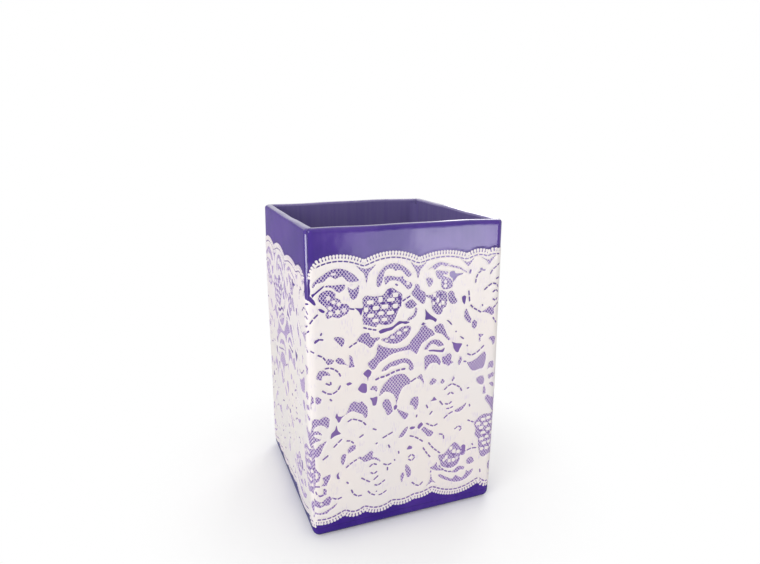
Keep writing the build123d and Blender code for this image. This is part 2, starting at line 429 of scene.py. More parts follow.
# Coils. Soft ropes of clay pressed and smoothed into the inside joints, one up each corner and one
# round the floor, so that the slabs hold together in the kiln. They are glazed with the inside.
coil_leg = 5.0
coil_hollow_share = 0.36
coil_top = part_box("corner_coil_front_left")[1].z / MM
coil_steps = 9


def hollow_profile():
    """Section of a pressed coil: two legs in the joint and a hollow face."""
    hollow = coil_leg * coil_hollow_share
    turns = np.linspace(0, 1, coil_steps)
    middle = 2 * hollow - coil_leg / 2
    face = [
        ((1 - t) ** 2 * coil_leg + 2 * t * (1 - t) * middle, t ** 2 * coil_leg + 2 * t * (1 - t) * middle)
        for t in turns
    ]
    return np.array([(0.0, 0.0)] + face)


section = hollow_profile()
coil_names = (
    "corner_coil_front_left",
    "corner_coil_front_right",
    "corner_coil_back_right",
    "corner_coil_back_left",
)
for side, coil_name in enumerate(coil_names):
    plan = to_side(section[:, 0] - inner_half, section[:, 1] - inner_half, side)
    levels = np.array((base_thickness + coil_leg * coil_hollow_share, coil_top))
    places = np.array([[(px, py, level) for px, py in zip(*plan)] for level in levels])
    count = len(section)
    faces = [tuple(reversed(face)) for face in grid_faces(2, count, False, True)]
    faces += end_faces(2, count)
    coil = make_piece("glazed_" + coil_name, places, faces, glaze)
    coil.data.set_sharp_from_angle(angle=sharp_angle)
    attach(coil, "root")
    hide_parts(coil_name)

square_corners = ((-1, -1), (1, -1), (1, 1), (-1, 1))
coil_rings = []
for corner_x, corner_y in square_corners:
    reach = inner_half - section[:, 0]
    heights = base_thickness + section[:, 1]
    coil_rings.append(np.stack((corner_x * reach, corner_y * reach, heights), axis=-1))
coil_faces = grid_faces(4, len(section), True, True)
base_coil = make_piece("glazed_base_coil", coil_rings, coil_faces, glaze)
base_coil.data.set_sharp_from_angle(angle=sharp_angle)
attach(base_coil, "root")
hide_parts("base_coil")


# Lace, its draft. A scalloped galloon lace of scrolls, roses and daisies on net, drafted in
# squares of about a millimetre, across from a wall's left corner and up. The strip repeats its draft
# on every wall, and hangs a little lower the further it goes round.
top_scallops = (
    (4, 170, 17, 173, 32, 169),
    (32, 169, 48, 173, 65, 168),
    (65, 168, 80, 171, 96, 168),
    (96, 168, 103, 170.5, 110, 169),
    (110, 169, 113, 170.5, 116, 170),
)
bottom_scallops = (
    (4, 6.5, 11, 6.5, 19, 10),
    (19, 10, 25, 7, 32, 9.5),
    (32, 9.5, 41, 6, 50, 9),
    (50, 9, 57, 7.5, 64, 9.5),
    (64, 9.5, 71, 9.5, 77, 12),
    (77, 12, 95, 6, 111, 11.5),
    (111, 11.5, 113, 8, 116, 6.5),
)
scroll_nets = (
    (2.4, 156, 3.2, 158, 5.5, 160, 10, 163, 14, 164.9, 18.3, 165.1, 22.3, 163.7, 26.2, 161, 29, 157.6,
     27, 157, 23.9, 156.9, 22, 158, 19.6, 160.6, 17.2, 160.2, 15.6, 159.4, 13.2, 161, 11, 160.2,
     9, 158.3, 5, 157.6, 3.5, 155.5),
    (22.4, 154.5, 23, 151, 24.2, 147.8, 25.8, 146.7, 27.6, 147.8, 28.9, 151.5, 29, 155, 27.3, 153.5,
     25.5, 152.6, 23.8, 153.3),
    (9.5, 155.4, 11, 156.3, 14.5, 155.9, 18, 156, 20.8, 155.8, 21, 154, 19.5, 152.4, 18, 151.6,
     16, 152.3, 14, 154.3, 12, 155),
    (39.3, 153.5, 39.3, 157.4, 41, 161.4, 44, 164.2, 47.5, 165.6, 51.3, 165.4, 54.6, 164, 58, 161.6,
     60.5, 158.4, 58.5, 156.8, 56.3, 158.8, 55, 160.4, 52.8, 161.6, 50.3, 161.2, 48.7, 162.6,
     46, 162.8, 44, 161.2, 43.2, 158, 42, 153.8, 40.5, 152.6),
    (43.8, 158, 47, 158.6, 50, 157.9, 53, 157.4, 55.2, 157.9, 55.4, 156, 57.5, 154.6, 60.8, 153,
     60.5, 150.6, 58.3, 149.5, 56, 152, 53, 154.6, 50.5, 155.6, 47.2, 155.7, 44.5, 153.7),
    (70.9, 160.2, 73, 161.8, 76, 163.6, 79, 164, 83, 162.9, 87.5, 161.3, 91.5, 159.9, 96, 156.6,
     94.5, 156.8, 91, 159, 87.5, 160, 84, 161.2, 81, 161.6, 79, 162.4, 76.5, 160.8, 74.5, 159.8,
     73.5, 161),
    (75.3, 158.8, 77, 159.3, 80, 158.6, 83.5, 157.8, 83, 156.2, 80.5, 156.6, 78.5, 153.8, 76.5, 155),
    (42, 121, 43.5, 121.6, 46, 121.8, 48, 123.3, 50.5, 124.2, 53, 126.3, 56, 127.3, 59.5, 127.3,
     60.5, 125.5, 58.8, 121.8, 55.7, 119, 52, 117.3, 48, 117.7, 44.5, 119, 42.8, 120),
    (56.5, 141, 58.3, 142.5, 60.8, 143.3, 62.6, 141.5, 64, 139.6, 62.5, 138.7, 61, 137.8, 58.5, 138,
     57.2, 138.8),
    (62.8, 138, 64.2, 137.5, 63.6, 133.6, 61.8, 131.6, 60, 130.8, 58, 130.6, 59, 132.5, 61.5, 133.5,
     62.5, 135.5),
    (42.3, 101, 44.3, 103.7, 47.8, 105.8, 51.8, 106.9, 57, 107.3, 60.5, 105.5, 62.3, 102, 62.4, 99.6,
     60.8, 98.8, 59.4, 100, 59.5, 102.6, 57.5, 104.2, 54.5, 104.4, 51, 103.2, 48, 103.2, 46, 101.5,
     44, 101),
    (69, 111.3, 70.3, 113.6, 72, 115.4, 75, 116.7, 78.5, 116, 80.5, 114.3, 82, 112.2, 80.8, 112,
     78.5, 111.7, 76.8, 113.2, 74, 114.2, 72, 112.3, 71, 110.8),
    (81, 22.5, 84, 19.6, 88, 17.2, 92.5, 15.3, 97, 14.7, 101, 15.8, 104.5, 18.3, 106.5, 22,
     104.5, 21.6, 102.5, 20.8, 101, 22, 100.5, 19.8, 98, 17.2, 95.8, 18.5, 93.3, 20, 91, 17.9,
     88, 19.5, 84.5, 21.8, 82, 23.4),
    (-1, 25.5, 2, 23.5, 5, 22.3, 8, 24.5, 10, 25.3, 11, 23, 9.5, 19.3, 7, 19.5, 4, 18.6, 2, 19.3,
     -1, 20.5),
    (-1, 16, 2, 15.2, 6, 15.2, 9, 16.3, 12, 18, 14.8, 19.5, 13, 17, 10.5, 15.8, 8, 13.8, 4, 13.8,
     1.5, 14.3, -1, 14),
)
ground_nets = (
    (5.8, 148.5, 7, 151.8, 10.2, 153.4, 13.5, 153, 15.8, 150.8, 15.2, 149, 17.8, 147.6, 19, 145.2,
     22, 144.5, 23.5, 142, 22, 139, 20, 138, 17, 136.8, 13.5, 138, 11, 137, 9.8, 139.5, 11, 142,
     9.8, 144, 7.5, 146.2),
    (27.5, 166, 30, 164.6, 33, 163.9, 36, 164.4, 38.8, 165.8, 36.5, 163.2, 34.6, 161.3, 34, 158.5,
     33.3, 155.4, 32.7, 158.5, 31.8, 161.3, 30, 163),
    (59.8, 165.8, 62.5, 163.6, 65, 163, 68.3, 164, 70, 165.8, 68.5, 163.2, 66, 160.8, 65.2, 158,
     64.4, 155.2, 63.6, 158, 62.5, 161, 60.8, 163.6),
    (91.5, 165, 94, 163.4, 96.3, 162.8, 98.5, 163.6, 100.5, 165, 98.5, 162.2, 96.6, 160.2, 94.8, 162),
    (104.5, 165.4, 108, 163.8, 110.5, 163, 112.5, 164.2, 115, 165.6, 112.5, 162.6, 110.6, 160.2,
     108.8, 162.6),
    (27.5, 122, 29, 124.2, 31, 126, 34.6, 126, 35.6, 123.5, 37.5, 122.6, 41, 122.6, 40.8, 121.2,
     38.6, 119.9, 37.2, 117.5, 35.3, 116.7, 33, 119, 30, 120.8),
    (40.6, 118.4, 43.3, 116.3, 47.2, 114.9, 51.7, 114.2, 56.7, 114.5, 61, 116.3, 60.8, 112.6,
     56.5, 112.2, 52.5, 111.8, 48, 110.8, 44.2, 108.5, 40.8, 106.6, 38.4, 103.3, 36.7, 102.8,
     35.5, 104, 33.8, 107, 35.5, 108.8, 38, 110.4, 39.5, 113.5, 39.6, 116),
    (35.3, 90.8, 37, 92.6, 39.3, 92, 39.9, 90, 39.4, 88.4, 38, 89.8, 36.5, 90),
    (41, 85.6, 42.2, 90, 44.5, 93.3, 48, 96.4, 52.3, 97.8, 56.3, 97.3, 59, 94.8, 60.5, 92.6,
     60, 90.2, 58.2, 90, 55.8, 88.6, 54, 85.5, 52.8, 81.5, 51.9, 78, 51.3, 81.5, 50, 85, 47, 87,
     44.5, 87.8, 42.8, 86.5),
    (43, 80.5, 44.5, 82.7, 46.8, 82.3, 48.4, 79.5, 49, 76.5, 49.6, 74.2, 48, 72.6, 46.3, 71.9,
     44.6, 75.5, 43.2, 78.5),
    (52.3, 75, 54, 74, 56.5, 72.5, 59.6, 70.5, 59, 68.2, 57, 67.2, 55, 69.5, 53.2, 72.3),
    (3.5, 102.5, 5.3, 106.6, 8, 106.8, 10.5, 105.3, 11.8, 103.3, 9.5, 103.5, 7, 103.3, 6.8, 101),
    (9.3, 111.5, 11, 113.5, 14, 112, 13, 110.2, 10.5, 109.8),
    (14.8, 111.5, 16.5, 113.3, 19, 112.3, 20.5, 109.5, 22, 107.8, 19.5, 108.8, 17, 109.3),
    (23, 114, 24.8, 112.3, 25.3, 109, 26, 106.5, 22.5, 106.5, 23.3, 109.5),
    (14.2, 124.5, 15, 126, 18, 125.5, 20.2, 124, 20, 121.5, 18.8, 119.6, 17, 121.5),
    (-0.5, 91.8, 1.3, 90.8, 1.6, 87.8, -0.5, 86.8),
    (2.8, 90.5, 4, 91.3, 6.4, 89.2, 5.5, 86.8, 3, 87),
    (-1, 73.5, 0.5, 76.5, 2.5, 77.6, 5, 76.8, 8, 78.2, 10.5, 76.5, 10.8, 74.5, 9.8, 70.2,
     7.5, 72.3, 5, 73.2, 2.5, 72.5, 0.5, 70.5, -1, 71),
    (-1, 68.5, 1, 69.3, 3.5, 69.8, 5.7, 67.8, 6, 66.6, 3.5, 67.6, 1, 67.3, -1, 66.8),
    (-1, 65.5, 1.5, 66, 4, 64.6, 5.5, 64.3, 4.8, 63.2, 2.5, 63, 1, 61.8, -1, 61.8),
    (20.5, 77, 22, 80, 23.2, 83.2, 25.8, 84.6, 28.5, 83.2, 30.2, 84, 32, 81.8, 33.6, 79.5,
     33.9, 76, 33.3, 73, 32.2, 72.8, 30.8, 75.3, 28, 76.8, 25.2, 78.5, 22.3, 78),
    (-1, 57, 2, 58.2, 5, 60.8, 9, 62.3, 6.8, 58.8, 5.3, 55.3, 3.5, 53, 1, 53, -1, 54),
    (21.3, 53.5, 23, 55.8, 26, 56.3, 26.3, 53.5, 24, 52.3, 22, 51.3),
    (17.5, 50, 18.8, 51.6, 20.4, 51, 19.8, 47.5, 18.3, 44.2, 17.3, 46.5),
    (27.5, 46.8, 28.8, 48, 30.5, 47, 33, 48.6, 36, 50.2, 37.2, 48.8, 36.8, 46, 39.5, 44.8,
     41.5, 43, 41.8, 41.5, 40, 42.8, 37, 44.2, 33.5, 43.6, 31.5, 43.6, 29.8, 45.6),
    (53.5, 55.5, 55, 58, 57, 60.5, 59.4, 62, 59.2, 60.2, 58.2, 58, 56, 55.5),
    (68.5, 57.8, 70, 59.5, 71.5, 59, 73.5, 57, 76, 55.5, 76.8, 53.8, 75, 52, 72.8, 52.5, 71, 55),
    (58.6, 35.8, 60.3, 34.3, 62.2, 31, 62, 27, 60, 26.2, 58.8, 29.5, 58.2, 32.5),
    (56.5, 30.8, 57.8, 29, 57, 26, 56.2, 23.5, 55.3, 26, 55.2, 28.5),
    (75, 29.5, 77.5, 30.3, 79.8, 32.6, 80.3, 29, 82.5, 27, 84, 25.7, 80.8, 26.2, 78.5, 27),
    (90.5, 22.8, 92.5, 24.5, 95.5, 26.3, 99.5, 25, 99, 23, 96.5, 23.4, 94, 22),
    (100.8, 28, 101.3, 30.2, 103.5, 31.5, 105.5, 30.2, 106.3, 27.5, 104, 26.2, 102, 26.4),
    (117, 23.5, 118.5, 25.3, 119.8, 22, 119.6, 17.5, 118.2, 18.5, 117.2, 20.5),
    (-1, 46.8, 1, 46, 3, 43.5, 4.8, 41.5, 4.2, 38.2, 3.3, 36.5, 1, 36, -1, 36.5, -1, 38, 1.5, 38.2,
     3.3, 39.5, 2.5, 42, 0.5, 43, -1, 43.5),
    (5.8, 38.5, 8, 39.3, 10.8, 39.8, 10.3, 37.3, 9, 35, 8.3, 32.8, 6.3, 33, 5, 33.2, 6.8, 35.5),
    (6.3, 31, 8, 30.5, 8, 27, 6.2, 26.8),
    (67.8, 126.2, 69.5, 126.6, 71.5, 124.5, 74, 122.8, 75.8, 119.8, 73, 118.8, 70.6, 117.2,
     67.5, 115.3, 65.8, 112, 64.3, 109, 62.2, 110.5, 60.3, 112.3, 60, 116.8, 62.5, 119.8,
     65, 122.5, 66.5, 125),
    (75.5, 124.8, 77.5, 125.8, 79, 126.6, 81, 125.3, 82.5, 122, 84, 118.5, 86.2, 115.6, 85, 115,
     82.5, 117.5, 80, 119.8, 77.5, 120.6, 75.7, 122),
    (60.5, 147.5, 62.2, 149.5, 62.8, 152.3, 65, 151.5, 66, 148.6, 69, 146.5, 69.3, 142,
     68.3, 139.7, 66.5, 140.6, 63.5, 143.3, 61, 145.8),
    (69.2, 154.8, 71, 155.4, 73.5, 154.5, 74, 152.5, 72.5, 150, 71.5, 149.6, 70.3, 151.8),
    (83.6, 144.5, 85.5, 146.2, 87.5, 145, 88.5, 142, 90, 139.2, 88.3, 137.8, 85.5, 138.3, 84, 141),
    (95.2, 132, 96.3, 133.9, 97.3, 132, 98.5, 129.5, 100, 126.7, 99.5, 124.3, 97.5, 125.2,
     95.5, 127.5, 95, 129.5),
    (100.5, 124.8, 102, 126, 104, 124.2, 103.8, 121.8, 102.4, 120.3, 100.7, 121.6),
    (107, 130.5, 110, 132, 112.5, 133.5, 115.3, 131.5, 115.5, 128.5, 114, 127.8, 111.5, 129.2,
     109, 130.2),
    (69.3, 106, 71, 107.2, 74, 107.3, 77, 106.5, 79, 104.5, 80.2, 101.5, 79.5, 99.5, 77.5, 101.3,
     74.5, 101.8, 72.5, 100.8, 71, 98.5, 69.8, 97.3, 69.5, 101),
    (80.9, 104.5, 83, 105, 85.8, 106.5, 87.5, 104.5, 87, 101.8, 88.8, 100, 86.8, 99.2, 85.5, 98,
     84, 99.3, 82, 100, 81.2, 101.5),
    (93.2, 103.8, 94.8, 101.8, 94, 99.5, 92.8, 97.5, 91.8, 99.5, 92.6, 101.5),
    (98.2, 98.5, 101, 98.7, 104.5, 100.2, 108, 102.8, 110, 104.3, 111.3, 102, 111, 97, 109.5, 93.2,
     107, 93, 104, 92.2, 101.5, 93, 99.8, 95.5),
    (105.3, 116.5, 109, 115.5, 107, 114, 107, 111.5, 105.8, 111.3, 106, 114),
    (112.8, 112.6, 115, 113.8, 118, 112.8, 117.5, 109.5, 116, 107.8, 114.8, 110.5),
    (113.8, 96.3, 116.5, 97.2, 117.5, 95, 117, 92.2, 114.5, 93, 112.8, 92),
    (113.3, 87.5, 115, 88.6, 117.5, 89, 118.5, 86.2, 116, 86, 114.5, 84.8),
    (114.6, 82, 116.5, 82.6, 118.6, 81, 118.3, 79, 116.5, 79.8),
    (105.5, 87, 107.5, 88, 110, 87.8, 111, 84.5, 109.8, 81.8, 107, 82.8, 105.3, 85),
    (112, 71.5, 113.5, 74.3, 116.5, 72.3, 121, 70, 121, 62, 118.5, 62, 115.5, 66.5),
    (110.8, 81.5, 112, 79, 112.3, 75.5, 110.3, 75.5),
    (60.5, 76.5, 61, 79.5, 62.5, 81, 65.5, 81, 66.2, 78.5, 66, 75.5, 64.8, 72.5, 63.5, 72.8,
     62.5, 75.5),
    (64.8, 93.5, 67.5, 95.5, 69, 92, 69.5, 88.5, 67, 92),
    (73, 89, 74.2, 91, 75.3, 91.8, 77.8, 89.8, 76.5, 87.8, 74, 87.2),
    (80.5, 88, 81.5, 90.3, 83.3, 88.5, 82.5, 87, 81, 87),
    (88, 88.5, 89.5, 91, 90, 89, 88.7, 87.3),
    (90.8, 66.8, 93, 68, 96, 69.2, 98.8, 71, 98.6, 69.5, 96.5, 67, 94, 65.5, 92, 65.8),
    (76, 25, 77, 20.5, 79.5, 17.6, 76.8, 18.6, 73, 16.8, 75.2, 20.5),
)
basket_nets = (
    (31, 146.6, 33, 148.3, 38, 147.4, 43, 147.6, 45.4, 150.6, 48.5, 151.5, 51, 149.8, 54.6, 147, 54.6, 143,
     53.5, 139.5, 52, 136.5, 50.6, 133, 49, 130.4, 46, 129.4, 43, 129.8, 40.6, 130.6, 37.5, 129.4,
     34, 130.9, 31.2, 132.6, 30.9, 136, 31.4, 139, 31.1, 143),
    (68.2, 145.2, 72.6, 144.6, 76, 146.6, 79, 147, 82.6, 145.6, 83.4, 141, 82.6, 136.8, 80.6, 135.6,
     80.2, 133.2, 78.4, 132, 75.8, 133, 73.8, 135.6, 73.2, 139.6, 72.4, 142.4),
    (78.6, 156.6, 79, 153.4, 79.3, 149, 81, 147.4, 84, 147.4, 86.6, 148.6, 86.2, 152, 84.8, 153.8,
     82.6, 154.6),
    (80.6, 37.4, 84.6, 37.6, 88, 41.4, 91.4, 44.4, 93.6, 43.4, 96, 40.4, 100, 36.8, 98.8, 33.8, 96, 34,
     95.8, 30.6, 93.6, 27.4, 90, 26.2, 86, 27.2, 83, 29.4, 81.8, 33),
    (106, 47, 108.4, 44, 108.8, 39.6, 109.6, 34.8, 111, 30.8, 113.4, 29.4, 117, 31.2, 121, 32.4, 121, 59.6,
     116.6, 60.4, 111.4, 60.8, 107.6, 58.6, 105, 55.6, 106.4, 51.4),
)
pads = (
    (35.4, 144.2, 3.4, 2.0), (41.6, 145.2, 2.2, 2.8), (47.8, 144.4, 4.0, 1.8), (33, 140, 2.2, 2.4),
    (38.8, 140.4, 3.2, 2.2), (44.1, 140.7, 3.4, 2.2), (50.5, 140.4, 2.6, 2.4), (35.7, 136.2, 3.4, 2.0),
    (41.9, 137, 2.8, 2.0), (47.6, 136.6, 3.8, 2.0), (38.5, 133, 3.2, 1.8), (43.9, 133, 3.0, 1.8),
    (50.6, 147, 2.8, 2.4), (75, 144.6, 1.6, 2.2), (77.2, 141.2, 1.5, 2.6), (80.6, 139.2, 1.7, 2.2),
    (78.6, 138.2, 1.5, 1.5), (74.6, 139.4, 1.4, 1.8), (82, 149.4, 1.8, 1.8), (81.9, 152, 1.7, 1.5),
    (89.4, 40.6, 2.0, 2.2), (91.6, 38, 2.2, 2.4), (94.6, 37.2, 2.2, 2.2), (86.4, 34.6, 1.8, 2.6),
    (88.6, 31.8, 1.8, 2.2), (91.4, 31.8, 2.0, 2.2), (84.6, 33, 1.5, 1.8), (93.8, 32.6, 1.6, 2.0),
    (108.2, 54.6, 2.6, 2.2), (111.6, 57, 2.8, 1.9), (115.4, 57.6, 2.6, 1.8), (110.4, 51.2, 2.6, 2.0),
    (113.6, 53.4, 2.6, 1.9), (117.6, 54, 2.4, 1.9), (112, 47.4, 3.0, 1.8), (115.8, 49.4, 2.8, 1.8),
    (118.8, 46, 2.2, 2.0), (111.2, 43, 2.6, 1.9), (115, 44, 2.6, 1.8), (113.2, 39.6, 2.8, 2.0),
    (117, 40, 2.6, 1.9), (111.6, 35.6, 2.2, 2.0), (115.4, 35.6, 2.6, 2.0), (118.6, 36.4, 1.8, 1.8),
    (45.4, 119.8, 1.6, 1.2), (49, 121.4, 2.4, 1.6), (53, 123.6, 2.6, 1.8), (57, 125, 2.2, 1.6),
    (61.4, 158.6, 1.4, 1.2), (14.6, 162.2, 2.2, 1.2), (84.4, 162, 1.8, 0.8),
)
gaps = (
    (2.5, 150, 4, 151.3, 6.5, 153.2, 9, 155.2, 9.3, 156.4, 6, 154.2, 4, 152.6, 1.8, 151.6),
    (5.8, 143.4, 7.5, 143.2, 9.4, 141.7, 9.3, 140.8, 7.9, 140.9, 6.5, 142),
    (26.5, 141.8, 28.3, 141.5, 30.3, 141.3, 32.3, 142.2, 31, 139.8, 30, 136.6, 28.8, 139.2, 27.5, 140.6),
    (40.5, 126.2, 43, 127.4, 46, 127.6, 49, 128.2, 51.5, 130, 53, 131, 55.5, 130.5, 58.5, 130.3,
     59.5, 129.3, 57, 128.6, 55, 129.3, 53, 128.8, 51, 127.8, 48.5, 126, 46, 125.6, 43, 124.8,
     41.5, 124.6),
    (34, 103.6, 36.2, 101.8, 35.6, 99.4, 34.5, 98.4, 34, 96.2, 33.6, 98.4, 32.8, 99.3, 31.2, 101.3),
    (30.5, 95.3, 33.2, 94.3, 33.4, 89.8, 32.5, 88.8, 30.2, 89.5, 28, 91.8, 29, 93.8),
    (35.2, 85.3, 37, 85, 39.8, 85.4, 39.6, 82, 38.8, 79.8, 37, 80, 36.4, 82.8),
    (50, 76.8, 51.2, 78, 52.4, 77.3, 52, 75.4, 50.6, 74.6),
    (21, 96.5, 23, 97.3, 24.5, 96, 22, 95.2),
    (15.3, 79, 16, 76.9, 18, 76.3, 20.1, 76.9, 18, 75.3, 16.9, 73, 15.9, 72.8, 15.2, 74.8, 14.2, 76.6),
    (14.9, 71.2, 15.6, 67.8, 17.3, 65.3, 14, 64.6, 11.2, 63.2, 11.8, 66.5, 13.8, 68.3),
    (16, 40, 15.6, 38, 16.3, 35.6, 14.8, 35.8, 14.3, 38.2, 15, 39.5),
    (60.6, 60.6, 62, 61.4, 64.4, 60.8, 63.6, 59.6, 61.5, 59.4),
    (65.8, 59.8, 66.5, 61.8, 68.5, 63, 69.6, 61.2, 68, 59.5, 67, 58.6),
    (59, 46.3, 60.5, 48.5, 62.5, 47.3, 62.5, 46, 60.5, 45.8),
    (2.8, 27.6, 4.5, 27.2, 6.8, 27.7, 6, 26.3, 4.3, 26, 3, 26.6),
    (66.8, 127, 68, 128.4, 70, 127.2, 69, 126.8, 67.6, 126.6),
    (69.2, 136.5, 70.5, 134.8, 73, 132.3, 76.8, 129.3, 76, 127.6, 74.5, 128.8, 72, 129.8, 69.3, 129.8,
     69.5, 133),
    (84.4, 156.8, 85, 158, 87.5, 158, 88.3, 156.6, 91, 156.3, 93.4, 156.2, 93, 155.6, 90, 154.8,
     88.3, 153, 86.8, 151.4, 86.4, 153.5, 84.6, 155),
    (93, 141.5, 94.5, 142.3, 95.8, 141.5, 95.5, 138.5, 95, 136.7, 93.8, 137.8, 93.2, 139.5),
    (87.2, 113.7, 90, 112.5, 94.3, 111.5, 92.8, 108.5, 91.8, 106.2, 90, 107, 88.5, 109.5, 88, 112),
    (71.8, 110.4, 75, 110.3, 78.5, 109.6, 80.5, 109.4, 82.5, 110.6, 82.3, 109.2, 81.5, 107.8,
     78.3, 108.3, 75, 109.1, 72.2, 109.5),
    (74, 76.3, 75.5, 77.5, 76.4, 79, 78.4, 76.5, 76.5, 76.3),
    (83.2, 128, 84.5, 127.8, 86.2, 126.2, 87.2, 124.4, 86, 125, 84.6, 126.6),
    (92.4, 116.6, 93.6, 116.3, 95.4, 115, 95.2, 114.2, 94, 114.9),
    (34.6, 142.6, 36.6, 142.4, 36.4, 141.2, 34.8, 141.3), (41, 143.1, 43.6, 142.9, 43.5, 141.8, 41.2, 142),
    (46.3, 143, 48.6, 142.8, 48.5, 141.8, 46.4, 141.8), (53, 141.8, 54.2, 141.5, 54.1, 139.4, 53.1, 139.6),
    (50.2, 138.1, 52, 137.9, 51.8, 136.8, 50.4, 136.9), (46.2, 151, 48.2, 150.4, 48.2, 147.4, 46.8, 147.4),
    (41.2, 135.3, 44.2, 135.1, 44, 134.4, 41.4, 134.5), (43.2, 131.7, 45.4, 131.3, 45.2, 130, 43.4, 130.2),
    (50.6, 145.9, 54.2, 145.4, 54, 144.2, 51, 144.5), (78.4, 146.2, 79.6, 146, 79.6, 143, 78.6, 143),
    (74.8, 142.6, 75.8, 142.4, 75.9, 141, 75, 141.1), (96.6, 40.6, 98, 41.6, 99.6, 40.6, 99.6, 37.4,
     98.4, 35, 97, 35.2, 97.2, 38), (90.4, 35.8, 92, 35.6, 91.8, 34.4, 90.6, 34.6),
    (86.8, 28.4, 89.4, 28.2, 89.2, 27.4, 87, 27.6), (112.6, 45.8, 114, 45.6, 113.8, 44.9, 112.8, 45),
    (109, 49.4, 110.4, 49.2, 110.2, 48.5, 109.2, 48.6), (115.8, 47.4, 117.2, 47.2, 117, 46.6, 116, 46.6),
)
seam_gap = (-1.5, 151.5, 0.4, 151.2, 2.2, 149.8, 3.8, 148, 4.6, 145.8, 3.4, 145.6, 2, 146.6,
            0.3, 147.8, -1.5, 149)
daisies = (
    (11.5, 148.9, 1.7), (14.4, 146.4, 1.5), (17.4, 144.9, 1.6), (12.3, 143.2, 1.5), (16.6, 140.4, 1.9),
    (12.6, 139.9, 1.6), (20.2, 141.2, 1.7), (4.6, 21, 1.2), (58.2, 153.2, 1.3), (24.6, 155.2, 1.0),
)
